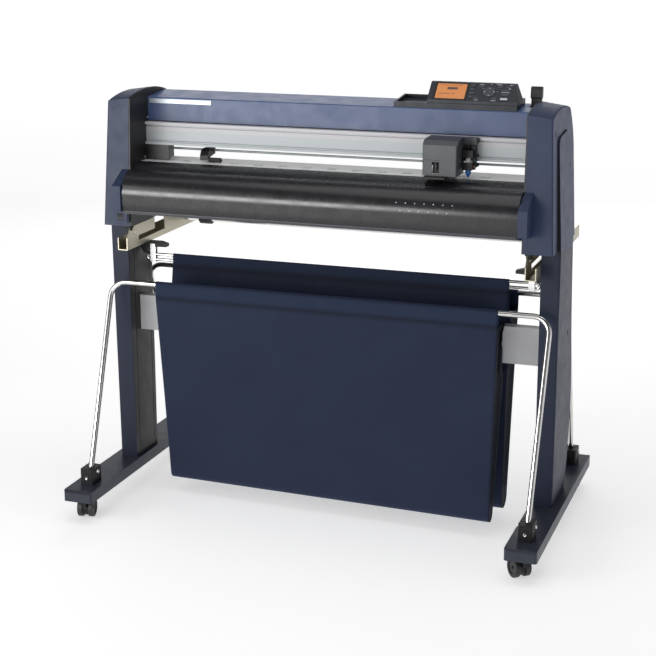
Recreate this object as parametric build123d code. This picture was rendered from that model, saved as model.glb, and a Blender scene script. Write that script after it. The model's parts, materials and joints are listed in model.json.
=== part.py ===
from build123d import *
import os
from math import atan2, cos, degrees, hypot, radians, sin

os.makedirs("parts", exist_ok=True)

# Floor-standing media cutter on a two-column stand with a cloth basket.
# Working frame: X across the machine, Y from front (-) to rear (+), Z up, millimetres.
# y = 0 is the middle of the feet. Every piece is moved by -BOX_MID_Y when it is written, so
# that the origin of the files is the bottom centre of the whole machine's box.

# ------------------------------------------------------------ driving dimensions
OVERALL_W = 1237.0          # across the outer faces of the feet
FOOT_L = 715.0              # length of a foot, front to rear
FOOT_W = 79.5
FOOT_H = 30.0
FOOT_WALL = 3.0
CASTER_H = 58.0             # floor to the underside of a foot
WHEEL_R = 25.0
COLUMN_INSET = 69.5         # outer face of a foot to the inner face of its column
COLUMN_IN = OVERALL_W / 2 - COLUMN_INSET
COLUMN_W = 47.0
COLUMN_TOP = 744.0
COLUMN_REAR = 62.0
COLUMN_WALL = 2.5
PANEL_T = 6.0               # moulded cover over a column
SEAM_FRONT, SEAM_REAR = 741.0, 728.0     # where the outer panel meets the column's cover
SEAM_Y0, SEAM_Y1 = -80.0, 76.0
BEAM_Y0, BEAM_Y1 = -18.0, 12.0
BEAM_Z0, BEAM_Z1 = 438.0, 533.0

BAY_HALF = COLUMN_IN - 38.0  # half the width between the end plates
PLATE_T = 3.5               # end plate
COVER_OUT_LOW = COLUMN_IN + 38.5    # outer face of a side cover at its foot
COVER_OUT_TOP = COLUMN_IN + 23.5    # and at its top
COVER_TOP = 1062.0          # height of the outer face, where it leans to COVER_OUT_TOP
COVER_BROW, COVER_CREST, COVER_NAPE = 1071.0, 1087.0, 1075.0     # inner edge, front to rear
COVER_FALL = 0.14           # drop of the top per millimetre outwards
COVER_WALL = 3.0
OUTER_WALL = 10.0           # wall that carries the recessed outer panel
OUTER_PANEL_T = 5.0          # depth that the outer panel is let into the cover

PLATEN_Z = 904.0            # surface that the media slides on
PLATEN_T = 4.0
PLATEN_FRONT, PLATEN_REAR = -62.0, 40.0
GUIDE_T = 3.0
RAIL_FRONT, RAIL_REAR = -28.0, 25.0
RAIL_Z0, RAIL_Z1 = 944.0, 1001.5
RAIL_LIP = 6.0
FEED_Y = -28.0
GRIT_R = 9.0
GRIT_PITCH = 66.0
GRIT_W = 20.0
SHAFT_R = 4.0
PINCH_R = 6.0

TOP_FRONT = -14.0           # front face of the top cover
TOP_REAR = 88.0
TOP_Z0 = 1004.0
TOP_FRONT_Z = 1064.0
TOP_REAR_Z = 1074.0
PANEL_TOP = 1125.0          # top edge of the control panel

TUBE_R = 7.0                # basket frame tube
TUBE_WALL = 1.2
TUBE_BEND = 42.0
FRAME_Y = 110.0             # cross tubes of the basket frames, front and rear
FRAME_Z = 589.0
LEG_Y = 286.0
LEG_Z = 100.0
LEG_X = COLUMN_IN + 29.0
LEG_TOP_X = LEG_X + 5.0
CLAMP_W, CLAMP_L, CLAMP_H = 36.0, 50.0, 42.0
ROD_R = 4.0                 # centre rod of the basket
ROD_Z = 637.0
ROD_GAP = 14.0
ROD_HALF = COLUMN_IN - 14.0
CLOTH_HALF = COLUMN_IN - 94.0
CLOTH_T = 2.5

ARM_IN, ARM_OUT = COLUMN_IN - 27.5, COLUMN_IN
ARM_Z0, ARM_Z1 = 680.0, 738.0
ARM_LIP_Z = 712.0
ARM_FRONT, ARM_REAR = -137.0, 430.0
ARM_T = 2.5
SHAFT_YS = (240.0, 396.0)   # media roll shafts
ROLL_SHAFT_Z = 708.0
ROLL_SHAFT_R = 16.0
JOURNAL_R = 8.0
STOPPER_R = 23.0
STOPPER_W = 32.0
STOPPER_X = ARM_IN - 59.5

# ------------------------------------------------------------ named clearances
RUNNING = 0.05              # radial, shaft in its bore
SEAT = 0.3                  # piece beside a piece that it must not touch
SLIP = 0.5                  # tube in its clamp, tongue in its groove
KEY_GAP = 0.4

# ------------------------------------------------------------ derived places
FOOT_OUT = OVERALL_W / 2
FOOT_IN = FOOT_OUT - FOOT_W
FOOT_X = (FOOT_IN + FOOT_OUT) / 2
FOOT_TOP = CASTER_H + FOOT_H
COLUMN_OUT = COLUMN_IN + COLUMN_W
COVER_IN = BAY_HALF + PLATE_T
BOX_MID_Y = (ARM_REAR - FOOT_L / 2) / 2
CASTER_Y = FOOT_L / 2 - 40.0


# ------------------------------------------------------------ helpers
def block(x0, x1, y0, y1, z0, z1):
    """A box between two corners."""
    centre = Pos((x0 + x1) / 2, (y0 + y1) / 2, (z0 + z1) / 2)
    return centre * Box(x1 - x0, y1 - y0, z1 - z0)


def along_x(x0, x1, y, z, radius):
    return Pos((x0 + x1) / 2, y, z) * Rot(0, 90, 0) * Cylinder(radius, x1 - x0)


def along_y(x, y0, y1, z, radius):
    return Pos(x, (y0 + y1) / 2, z) * Rot(90, 0, 0) * Cylinder(radius, y1 - y0)


def upright(x, y, z0, z1, radius):
    return Pos(x, y, (z0 + z1) / 2) * Cylinder(radius, z1 - z0)


def outline_x(points, x0, x1):
    """A closed (y, z) outline, extruded along X."""
    face = make_face(Polyline(*points, close=True))
    return extrude(Plane.YZ.offset(x0) * face, x1 - x0)


def outline_y(points, y0, y1):
    """A closed (x, z) outline, extruded along Y."""
    face = make_face(Polyline(*points, close=True))
    return extrude(Plane.XZ.offset(-y1) * face, y1 - y0)


def strip_sketch(points, thickness):
    """A strip of even thickness whose middle follows the points."""
    sketch = Sketch()
    for (a0, b0), (a1, b1) in zip(points, points[1:]):
        run = hypot(a1 - a0, b1 - b0)
        turn = degrees(atan2(b1 - b0, a1 - a0))
        middle = Pos((a0 + a1) / 2, (b0 + b1) / 2)
        sketch += middle * Rot(0, 0, turn) * Rectangle(run, thickness)
    for a, b in points[1:-1]:
        sketch += Pos(a, b) * Circle(thickness / 2)
    return sketch


def strip_x(points, thickness, x0, x1):
    return extrude(Plane.YZ.offset(x0) * strip_sketch(points, thickness), x1 - x0)


def arc_points(cy, cz, radius, start, end, steps):
    """Points on an arc, angles in degrees from +Y towards +Z."""
    angles = [radians(start + (end - start) * i / steps) for i in range(steps + 1)]
    return [(cy + radius * cos(a), cz + radius * sin(a)) for a in angles]


def left_of(shape):
    """The left-hand copy of a right-hand piece."""
    return mirror(shape, about=Plane.YZ)


def group(*shapes):
    """Separate solids kept in one node."""
    return Compound(children=[s for shape in shapes for s in shape.solids()])


def save(name, shape):
    export_step(Pos(0, -BOX_MID_Y, 0) * shape, f"parts/{name}.step")


def save_pair(name, right):
    save(f"right_{name}", right)
    save(f"left_{name}", left_of(right))


# ------------------------------------------------------------ stand
STEM_R = 6.0
STEM_H = 18.0
BOSS_R = 13.0
COLUMN_LEAN = 14.0          # the column's front leans forward by this much over its height
COLUMN_FRONT_LOW = -68.0


def column_front(z, inset=0.0):
    """Y of the column's front face at a height."""
    share = (z - FOOT_TOP) / (COLUMN_TOP - FOOT_TOP)
    return COLUMN_FRONT_LOW - COLUMN_LEAN * share + inset


def foot():
    """A downward-open channel with a boss for each caster stem."""
    half = FOOT_L / 2
    nose = [(-half, CASTER_H), (half, CASTER_H), (half, FOOT_TOP - 6), (half - 6, FOOT_TOP)]
    nose += [(6 - half, FOOT_TOP), (-half, FOOT_TOP - 6)]
    body = outline_x(nose, FOOT_IN, FOOT_OUT)
    body = fillet(body.edges().filter_by(Axis.Z), 7)
    w = FOOT_WALL
    body -= block(FOOT_IN + w, FOOT_OUT - w, -half + w + 4, half - w - 4, CASTER_H - 1, FOOT_TOP - w)
    for y in (-CASTER_Y, CASTER_Y):
        body += upright(FOOT_X, y, CASTER_H, FOOT_TOP - w / 2, BOSS_R)
        body += block(FOOT_IN + w / 2, FOOT_OUT - w / 2, y - 2, y + 2, CASTER_H + 8, FOOT_TOP - w / 2)
        body -= upright(FOOT_X, y, CASTER_H - 1, CASTER_H + STEM_H + 2, STEM_R + RUNNING)
    return body


def column():
    """Closed steel tube with a base and a top plate and two grooves down its inner face."""
    x0, x1 = COLUMN_IN, COLUMN_OUT - PANEL_T - 2 - SEAT
    low, top = FOOT_TOP, COLUMN_TOP
    inset = PANEL_T + SEAT
    w = COLUMN_WALL
    outer = [(column_front(low, inset), low), (COLUMN_REAR, low)]
    outer += [(COLUMN_REAR, top), (column_front(top, inset), top)]
    inner = [(column_front(low, inset + w), low + w), (COLUMN_REAR - w, low + w)]
    inner += [(COLUMN_REAR - w, top - w), (column_front(top, inset + w), top - w)]
    tube = outline_x(outer, x0, x1) - outline_x(inner, x0 + w, x1 - w)
    for y in (-46.0, 44.0):
        tube -= block(x0 - 1, x0 + 1.2, y - 1.2, y + 1.2, low + 20, top - 20)
    return tube


def column_panel():
    """Moulded cover over a column's front and outer side, with a bowed rear edge."""
    low, top = FOOT_TOP, COLUMN_TOP
    front = Line((column_front(low), low), (column_front(top), top))
    head = Line((column_front(top), top), (76, top))
    rear = Spline((76, top), (84, 661), (106, 506), (135, 311), (111, 155), (88, low))
    sole = Line((88, low), (column_front(low), low))
    side_face = make_face(Wire([front, head, rear, sole]))
    x0 = COLUMN_OUT - PANEL_T - 2
    side = extrude(Plane.YZ.offset(x0) * side_face, PANEL_T + 2)
    strip = [(column_front(low), low), (column_front(low, PANEL_T), low)]
    strip += [(column_front(top, PANEL_T), top), (column_front(top), top)]
    cover = side + outline_x(strip, COLUMN_IN, COLUMN_OUT)
    corner = [e for e in cover.edges() if e.center().X > COLUMN_OUT - 0.5
              and e.center().Y < column_front(top, 12) + 16 and e.length > 600]
    cover = fillet(corner, 5)
    y0, y1 = SEAM_Y0 - 1.5, SEAM_Y1 + 9
    seam = [(y0, top + 1), (y0, SEAM_FRONT - SEAT), (y1, SEAM_REAR - 1 - SEAT), (y1, top + 1)]
    cover -= outline_x(seam, x0 - 1, COLUMN_OUT + 1)
    for y, z in ((50.0, 512.0), (35.0, 433.0)):
        cover -= block(COLUMN_OUT - 2, COLUMN_OUT + 1, y - 3, y + 3, z - 7, z + 7)
    return cover


def cross_beam():
    half = COLUMN_IN
    beam = block(-half, half, BEAM_Y0, BEAM_Y1, BEAM_Z0, BEAM_Z1)
    w = 2.0
    beam -= block(-half + 4, half - 4, BEAM_Y0 + w, BEAM_Y1 - w, BEAM_Z0 + w, BEAM_Z1 - w)
    return beam


save_pair("foot", foot())
save_pair("column", column())
save_pair("column_panel", column_panel())
save("cross_beam", cross_beam())

# ------------------------------------------------------------ casters
TRAIL = 18.0
SWIVEL_R = 17.0
SWIVEL_T = 6.0
HOOD_T = 12.0
TYRE_W = 14.0
TYRE_GAP = 1.0
AXLE_R = 4.0
CASTER_TURNS = {"left_front": 12.0, "right_front": 40.0, "left_rear": -25.0, "right_rear": 20.0}


def caster_fork():
    """Swivel plate with its stem, a hood between the wheels and the axle."""
    top = CASTER_H - SEAT
    plate_z = top - SWIVEL_T
    half = HOOD_T / 2
    fork = upright(0, 0, plate_z, top, SWIVEL_R)
    fork += upright(0, 0, top - 1, CASTER_H + STEM_H, STEM_R)
    fork += along_x(-half, half, TRAIL, WHEEL_R, WHEEL_R - 4)
    fork += block(-half, half, -12, TRAIL + 12, WHEEL_R + 8, plate_z + 1)
    reach = half + TYRE_GAP + TYRE_W
    fork += along_x(-reach, reach, TRAIL, WHEEL_R, AXLE_R)
    return fork


def caster_wheels():
    """The two tyres of a twin-wheel caster."""
    near = HOOD_T / 2 + TYRE_GAP
    far = near + TYRE_W
    tyre = along_x(near, far, TRAIL, WHEEL_R, WHEEL_R)
    tyre = fillet(tyre.edges().filter_by(GeomType.CIRCLE), 2.5)
    tyre -= along_x(far - 2, far + 1, TRAIL, WHEEL_R, WHEEL_R - 8)
    tyre -= along_x(near - 1, far + 1, TRAIL, WHEEL_R, AXLE_R + RUNNING)
    return group(tyre, left_of(tyre))


for place, turn in CASTER_TURNS.items():
    x = -FOOT_X if place.startswith("left") else FOOT_X
    y = -CASTER_Y if place.endswith("front") else CASTER_Y
    spot = Pos(x, y, 0) * Rot(0, 0, turn)
    save(f"{place}_caster_fork", spot * caster_fork())
    save(f"{place}_caster_wheels", spot * caster_wheels())

# ------------------------------------------------------------ basket
HANGER_IN = COLUMN_IN - 77.0
STRAP_X0, STRAP_X1 = COLUMN_IN - 44.0, COLUMN_IN - 29.0
STRAP_T = 2.0


def basket_frame(front):
    """One bent tube: a leg, the cross tube and the other leg."""
    s = -1.0 if front else 1.0
    corners = [(-LEG_X, s * LEG_Y, LEG_Z), (-LEG_TOP_X, s * FRAME_Y, FRAME_Z)]
    corners += [(LEG_TOP_X, s * FRAME_Y, FRAME_Z), (LEG_X, s * LEG_Y, LEG_Z)]
    path = FilletPolyline(*corners, radius=TUBE_BEND)
    start = Plane(origin=path @ 0, z_dir=path % 0)
    ring = Circle(TUBE_R) - Circle(TUBE_R - TUBE_WALL)
    return sweep(start * ring, path=path)


def foot_clamp(front):
    """Block on a foot that grips the end of a basket leg."""
    s = -1.0 if front else 1.0
    y = s * (LEG_Y - 6.0)
    body = block(LEG_X - CLAMP_W / 2, LEG_X + CLAMP_W / 2, y - CLAMP_L / 2, y + CLAMP_L / 2,
                 FOOT_TOP, FOOT_TOP + CLAMP_H)
    body = fillet(body.edges().filter_by(Axis.Z), 4)
    lean = Vector(LEG_TOP_X - LEG_X, s * (FRAME_Y - LEG_Y), FRAME_Z - LEG_Z)
    seat = Plane(origin=(LEG_X, s * LEG_Y, LEG_Z), z_dir=lean)
    bore = seat.offset(-1.0) * Cylinder(TUBE_R + SLIP, 80, align=(Align.CENTER, Align.CENTER, Align.MIN))
    body -= bore
    body -= block(LEG_X - CLAMP_W, LEG_X + CLAMP_W, y - 1.2, y + 1.2, FOOT_TOP + 30, FOOT_TOP + CLAMP_H + 1)
    return body


def hanger_block():
    """Moulded block under a stocker arm that the centre rod's strap hangs from."""
    top = ARM_Z0 - SEAT
    points = [(COLUMN_IN, top - 10), (COLUMN_IN, top), (HANGER_IN + 18, top), (HANGER_IN, top - 5)]
    points += [(HANGER_IN, top - 13), (STRAP_X0 - 3, top - 14), (STRAP_X1 + 3, top - 14)]
    points += [(STRAP_X1 + 6, top - 32), (COLUMN_IN - 12, top - 32)]
    body = outline_y(points, -10, 10)
    body -= block(STRAP_X0 - SEAT, STRAP_X1 + SEAT, -11, 7.5, top - 40, top - 6)
    return body


def rod_strap():
    """Bent steel strap that carries the centre rod."""
    y = ROD_R + SLIP + STRAP_T / 2
    low = ROD_Z - ROD_GAP / 2 - y
    top = ARM_Z0 - SEAT - 6 - SEAT - STRAP_T / 2
    points = [(-y, top), (-y, low), (y, low), (y, top), (-y, top)]
    return strip_x(points, STRAP_T, STRAP_X0, STRAP_X1)


def centre_rod():
    """A long closed loop of round wire, standing on edge."""
    h = ROD_GAP / 2
    straight = ROD_HALF - ROD_R - h
    loop = along_x(-straight, straight, 0, ROD_Z + h, ROD_R)
    loop += along_x(-straight, straight, 0, ROD_Z - h, ROD_R)
    section = Pos(0, ROD_Z + h) * Circle(ROD_R)
    for side in (-1, 1):
        axis = Axis((side * straight, 0, ROD_Z), (0, 1, 0))
        cut = Plane.YZ.offset(side * straight) * section
        loop += revolve(cut, axis, revolution_arc=side * 180)
    return loop


def cloth_paths():
    """Middle lines of the front and the rear pocket, front to rear."""
    wrap = TUBE_R + SLIP + CLOTH_T / 2
    over = ROD_R + SLIP + CLOTH_T / 2
    y_front = BEAM_Y0 - 3 - CLOTH_T / 2
    y_rear = BEAM_Y1 + 3 + CLOTH_T / 2
    shelf = BEAM_Z1 + 2
    rod_top = ROD_Z + ROD_GAP / 2
    front = [(-FRAME_Y - wrap, FRAME_Z)]
    front += arc_points(-65, 75, 30, 180, 360, 10)
    front += [(y_front, shelf), (-over, rod_top)]
    crest = arc_points(0, rod_top, over, 180, 0, 6)
    rear = [(over, rod_top), (y_rear, shelf)]
    rear += arc_points(60, 66, 36, 180, 360, 10)
    rear += [(FRAME_Y + wrap, FRAME_Z)]
    return front, crest, rear


GUSSET_Z = FRAME_Z - 16.0


def gusset(path, x0, x1):
    """End panel that closes one pocket, level at the top."""
    face = make_face(Polyline(*path, close=True))
    panel = extrude(Plane.YZ.offset(x0) * face, x1 - x0)
    return panel - block(x0 - 1, x1 + 1, -400, 400, GUSSET_Z, GUSSET_Z + 400)


def basket_cloth():
    """Two hanging pockets with end gussets, sewn round the front and the rear tube."""
    front, crest, rear = cloth_paths()
    sketch = strip_sketch(front + crest[1:-1] + rear, CLOTH_T)
    for s in (-1, 1):
        sleeve = Circle(TUBE_R + SLIP + CLOTH_T) - Circle(TUBE_R + SLIP)
        sketch += Pos(s * FRAME_Y, FRAME_Z) * sleeve
    cloth = extrude(Plane.YZ.offset(-CLOTH_HALF) * sketch, 2 * CLOTH_HALF)
    for x0 in (-CLOTH_HALF, CLOTH_HALF - CLOTH_T):
        cloth += gusset(front, x0, x0 + CLOTH_T)
        cloth += gusset(rear, x0, x0 + CLOTH_T)
    return cloth


clamps = [foot_clamp(True), foot_clamp(False), hanger_block()]
save("basket_clamps", group(*clamps, *[left_of(c) for c in clamps]))
save("rod_straps", group(rod_strap(), left_of(rod_strap())))
save("front_basket_frame", basket_frame(True))
save("rear_basket_frame", basket_frame(False))
save("centre_basket_rod", centre_rod())
save("basket_cloth", basket_cloth())

# ------------------------------------------------------------ media stocker
def stocker_arm():
    """U-channel, open upwards, with a tall slotted inner plate."""
    x0, x1, t = ARM_IN, ARM_OUT, ARM_T
    tall = [(ARM_FRONT, ARM_Z0), (ARM_FRONT, ARM_LIP_Z), (ARM_FRONT + 18, ARM_Z1)]
    tall += [(ARM_REAR - 120, ARM_Z1), (ARM_REAR, ARM_Z1 - 10), (ARM_REAR, ARM_Z0)]
    plate = outline_x(tall, x0, x0 + t)
    slot_z = ARM_Z0 + 15
    plate -= block(x0 - 1, x0 + t + 1, -70, 90, slot_z, slot_z + 13)
    plate -= block(x0 - 1, x0 + t + 1, 28, 90, slot_z, ARM_Z1 + 1)
    plate -= along_x(x0 - 1, x0 + t + 1, -92, ARM_Z0 + 40, 4)
    for y in SHAFT_YS:
        plate -= along_x(x0 - 1, x0 + t + 1, y, ROLL_SHAFT_Z, JOURNAL_R + RUNNING)
    arm = plate + block(x0, x1, ARM_FRONT, ARM_REAR, ARM_Z0, ARM_Z0 + t)
    arm += block(x1 - t, x1, ARM_FRONT, ARM_REAR, ARM_Z0, ARM_LIP_Z)
    return arm


def roll_shaft(y):
    """Tube with end journals and two sliding stoppers."""
    half = ARM_IN - 2.5
    shaft = along_x(-half, half, y, ROLL_SHAFT_Z, ROLL_SHAFT_R)
    shaft -= along_x(-half + 4, half - 4, y, ROLL_SHAFT_Z, ROLL_SHAFT_R - 2)
    for s in (-1, 1):
        ends = sorted((s * (half - 1), s * (ARM_IN + 9)))
        shaft += along_x(*ends, y, ROLL_SHAFT_Z, JOURNAL_R)
    rings = []
    for s in (-1, 1):
        x0, x1 = s * STOPPER_X - STOPPER_W / 2, s * STOPPER_X + STOPPER_W / 2
        ring = along_x(x0, x1, y, ROLL_SHAFT_Z, STOPPER_R)
        rings.append(ring - along_x(x0 - 1, x1 + 1, y, ROLL_SHAFT_Z, ROLL_SHAFT_R + RUNNING))
    return group(shaft, *rings)


save_pair("stocker_arm", stocker_arm())
save("front_roll_shaft", roll_shaft(SHAFT_YS[0]))
save("rear_roll_shaft", roll_shaft(SHAFT_YS[1]))

# ------------------------------------------------------------ side covers and end plates
COVER_FRONT_LOW, COVER_FRONT_TOP = -136.0, -120.0
COVER_REAR_LOW, COVER_REAR_MID, COVER_REAR_TOP = 143.0, 140.0, 100.0
EAR_IN, EAR_OUT = BAY_HALF + 0.5, BAY_HALF + 23.0
EAR_FRONT = -189.0
SWITCH_X0, SWITCH_X1 = BAY_HALF + 2.0, BAY_HALF + 38.0
SWITCH_Z0, SWITCH_Z1 = 755.0, 787.0
SWITCH_FRONT = -152.0
ROCKER_W, ROCKER_H = 17.0, 15.0
ROCKER_SWING = 1.2          # room above and below the rocker for its tilt
INLET_X, INLET_Z = BAY_HALF + 41.0, 800.0


def cover_face(inset=0.0):
    """Side outline of a side cover at its inner edge, in (y, z)."""
    i = inset
    low = (COVER_FRONT_LOW + i, COLUMN_TOP)
    brow = (COVER_FRONT_TOP + i, COVER_BROW - i)
    crest = (-25, COVER_CREST - i)
    nape = (COVER_REAR_TOP - i, COVER_NAPE - i)
    shoulder = (COVER_REAR_TOP + 27 - i, COVER_NAPE - 43 - i)
    back = (COVER_REAR_MID - i, COVER_NAPE - 100)
    hip = (COVER_REAR_LOW - i, COLUMN_TOP)
    edges = [Line(low, brow), ThreePointArc(brow, crest, nape)]
    edges += [ThreePointArc(nape, shoulder, back), Line(back, hip), Line(hip, low)]
    return make_face(Wire(edges))


def fallen(x0, inset=0.0):
    """Cover outline carried outwards from x0 while its top falls."""
    run = COVER_OUT_LOW - COVER_IN + 4
    body = extrude(Plane.YZ.offset(x0) * cover_face(inset), run, dir=(1, 0, -COVER_FALL))
    return body - block(x0 - 1, x0 + run + 1, -400, 400, 0, COLUMN_TOP)


def drafted(inset, margin=0.0):
    """Half-space wedge beyond the leaning outer face of a side cover."""
    low, top = COLUMN_TOP - 20, COVER_TOP + 40
    slope = (COVER_OUT_TOP - COVER_OUT_LOW) / (COVER_TOP - COLUMN_TOP)
    x_low = COVER_OUT_LOW + slope * (low - COLUMN_TOP) - inset
    x_top = COVER_OUT_LOW + slope * (top - COLUMN_TOP) - inset
    points = [(x_low, low), (x_low + 60, low), (x_low + 60, top), (x_top, top)]
    return outline_y(points, -260 - margin, 260 + margin)


def cover_out(z, proud=0.0):
    """X of the outer face of a side cover at a height."""
    share = (z - COLUMN_TOP) / (COVER_TOP - COLUMN_TOP)
    return COVER_OUT_LOW + (COVER_OUT_TOP - COVER_OUT_LOW) * share + proud


def outer_panel_body(grow=0.0):
    """The outer panel: proud of the cover and level with the column's cover at its foot."""
    g = grow
    points = [(SEAM_Y0 - g, SEAM_FRONT), (-68 - g, 996), (-62 - g, 1007), (-50, 1013 + g), (36, 1020 + g)]
    points += [(75 + g, 974), (92 + g, 895), (86 + g, 805), (SEAM_Y1 + g, SEAM_REAR)]
    top = 1020 + g
    foot = COLUMN_TOP + SEAT - g
    low_in = COLUMN_OUT - PANEL_T - 2 + SEAT
    sink = -OUTER_PANEL_T - (SEAT if g else 0)
    slab = [(COLUMN_OUT, SEAM_REAR - 2), (COLUMN_OUT, SEAM_FRONT), (cover_out(top, 4.5), top)]
    slab += [(cover_out(top, sink), top), (cover_out(foot, sink), foot), (low_in, foot)]
    slab += [(low_in, SEAM_REAR - 2)]
    return outline_x(points, COVER_OUT_TOP - 30, COLUMN_OUT + 20) & outline_y(slab, -120, 140)


def side_cover(switch_side):
    """Moulded shell, open at its foot and towards the end plate."""
    body = fallen(COVER_IN) - drafted(0)
    long_edges = [e for e in body.edges() if e.center().X > COVER_IN + 40 and e.length > 100
                  and e.center().Z > COLUMN_TOP + 5]
    body = fillet(long_edges, 4)
    hollow = fallen(COVER_IN - 1, COVER_WALL)
    y0, y1 = COVER_FRONT_LOW + COVER_WALL + 1, COVER_REAR_LOW - COVER_WALL - 1
    hollow += block(COVER_IN - 1, COVER_OUT_LOW, y0, y1, COLUMN_TOP - 1, COLUMN_TOP + 8)
    hollow -= drafted(OUTER_WALL, 10)
    body -= hollow
    ear = [(COVER_FRONT_TOP - 4, 894), (EAR_FRONT, 857), (EAR_FRONT, 793)]
    ear += [(COVER_FRONT_LOW + 2, 786)]
    lug = outline_x(ear, EAR_IN, EAR_OUT)
    lug = fillet([e for e in lug.edges().filter_by(Axis.X) if e.center().Y < EAR_FRONT + 2], 2)
    body += lug - block(EAR_IN - 1, COVER_IN, COVER_FRONT_LOW - 2, 0, 700, 1000)
    body -= outer_panel_body(1.2)
    if switch_side:
        bezel = block(SWITCH_X0, SWITCH_X1, SWITCH_FRONT, COVER_FRONT_LOW + 4, SWITCH_Z0, SWITCH_Z1)
        bezel = fillet(bezel.edges().filter_by(Axis.Y), 2)
        body += bezel - block(EAR_IN - 1, COVER_IN, COVER_FRONT_LOW - 2, 0, 700, 1000)
        xm, zm = (SWITCH_X0 + SWITCH_X1) / 2, (SWITCH_Z0 + SWITCH_Z1) / 2
        w, h = ROCKER_W / 2 + SLIP, ROCKER_H / 2 + ROCKER_SWING
        body -= block(xm - w, xm + w, SWITCH_FRONT - 1, SWITCH_FRONT + 12, zm - h, zm + h)
        body -= block(INLET_X - 14, INLET_X + 14, 100, 200, INLET_Z - 11, INLET_Z + 11)
        body += block(INLET_X - 16, INLET_X + 16, 118, 122, INLET_Z - 13, INLET_Z + 13)
        walls = block(INLET_X - 16, INLET_X + 16, 118, 140.5, INLET_Z - 13, INLET_Z + 13)
        body += walls - block(INLET_X - 14, INLET_X + 14, 117, 141, INLET_Z - 11, INLET_Z + 11)
        for dx, dz in ((-7, -3), (7, -3), (0, 4)):
            body += block(INLET_X + dx - 1, INLET_X + dx + 1, 121, 135, INLET_Z + dz - 2, INLET_Z + dz + 2)
    return body


def outer_panel():
    """Outer panel with a finger dimple."""
    plate = outer_panel_body()
    x = cover_out(945, 5.6)
    return plate - Pos(x, 54, 945) * Rot(0, 90, 0) * extrude(SlotOverall(28, 12), 4)


PIN_Y, PIN_Z = 12.0, 930.0          # rod that the pinch arms turn on
PIN_R = 3.0
LEVER_Y, LEVER_Z = 60.0, 1054.0
LEVER_PIN_R = 4.0
PULLEY_X, PULLEY_Y = BAY_HALF + 31.0, 48.0
PULLEY_R = 10.0
PULLEY_Z0, PULLEY_Z1 = 960.0, 974.0
PULLEY_PIN_R = 3.0
FEED_Z = PLATEN_Z + 0.3 - GRIT_R


def end_plate(right):
    """Steel plate between the works and a side cover, with a foot flange on the column."""
    plate = extrude(Plane.YZ.offset(BAY_HALF) * cover_face(1.0), PLATE_T)
    flange_out = COVER_OUT_LOW - OUTER_WALL - 4
    plate += block(COVER_IN - 1, flange_out, -58, 58, COLUMN_TOP, COLUMN_TOP + 5)
    plate -= along_x(BAY_HALF - 1, COVER_IN + 1, FEED_Y, FEED_Z, SHAFT_R + RUNNING)
    shelf_z = PULLEY_Z0 - 5
    if right:
        plate -= along_x(BAY_HALF - 1, COVER_IN + 1, LEVER_Y, LEVER_Z, LEVER_PIN_R + RUNNING)
        plate += block(COVER_IN - 1, PULLEY_X - 20, PULLEY_Y - 15, PULLEY_Y + 15, shelf_z - 40, shelf_z - 2)
    else:
        plate += block(COVER_IN - 1, PULLEY_X + 8, PULLEY_Y - 8, PULLEY_Y + 8, shelf_z - 4, shelf_z)
        plate += upright(PULLEY_X, PULLEY_Y, shelf_z - 1, PULLEY_Z1 + 3, PULLEY_PIN_R)
        plate += block(BAY_HALF - 65, BAY_HALF + 1, -33, -30, PLATEN_Z + 0.5, RAIL_Z0)
    return plate


save("right_side_cover", side_cover(False))
save("left_side_cover", left_of(side_cover(True)))
save_pair("outer_panel", outer_panel())
save("end_plates", group(end_plate(True), left_of(end_plate(False))))

# ------------------------------------------------------------ bed: chassis, platen, guides, rail
TRAY_FRONT, TRAY_REAR = -176.0, 128.0
TRAY_Z = 788.5               # tray under the bed that both guides stand on
GUIDE_GAP = 1.0


def chassis_beam():
    """Folded beam under the platen with a tray that the guides stand on."""
    half = BAY_HALF
    y0, y1, z0, z1 = -50.0, 70.0, 800.0, 875.0
    beam = block(-half, half, y0, y1, z0, z1)
    beam -= block(-half - 1, half + 1, y0 + 3, y1 - 3, z0 + 3, z1 - 3)
    beam += block(-half, half, y0, y0 + 3, z1 - 1, PLATEN_Z - PLATEN_T)
    beam += block(-half, half, 34, 37, z1 - 1, PLATEN_Z - PLATEN_T)
    beam += block(-half, half, TRAY_FRONT, TRAY_REAR, TRAY_Z - 3, TRAY_Z)
    for y in (y0, y1 - 3):
        beam += block(-half, half, y, y + 3, TRAY_Z - 1, z0 + 1)
    return beam


def grit_xs():
    """Places of the grit rollers along the feed shaft."""
    return [GRIT_PITCH * (i - 6) for i in range(13)]


def platen():
    top = block(-BAY_HALF, BAY_HALF, PLATEN_FRONT, PLATEN_REAR, PLATEN_Z - PLATEN_T, PLATEN_Z)
    for x in grit_xs():
        top -= block(x - GRIT_W / 2 - 2, x + GRIT_W / 2 + 2, FEED_Y - GRIT_R, FEED_Y + GRIT_R,
                     PLATEN_Z - PLATEN_T - 1, PLATEN_Z + 1)
    top -= block(-BAY_HALF + 6, BAY_HALF - 6, -51, -48, PLATEN_Z - 0.8, PLATEN_Z + 1)
    return top


def guide_line(front):
    """Middle line of a curved media guide, from the platen down to the tray."""
    if front:
        path = [(PLATEN_FRONT - GUIDE_GAP, PLATEN_Z - 1.5), (-104, 896.5)]
        path += arc_points(-128, 836, 54.5, 76, 186, 12)
        path += [(-180.5, 800), (-177, 793), (-170, 790)]
        return path
    path = [(PLATEN_REAR + GUIDE_GAP, PLATEN_Z - 1.5), (66, 898)]
    path += arc_points(76, 838, 58, 84, 0, 8)
    path += [(134, 806), (126, TRAY_Z + 4)]
    return path


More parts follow.
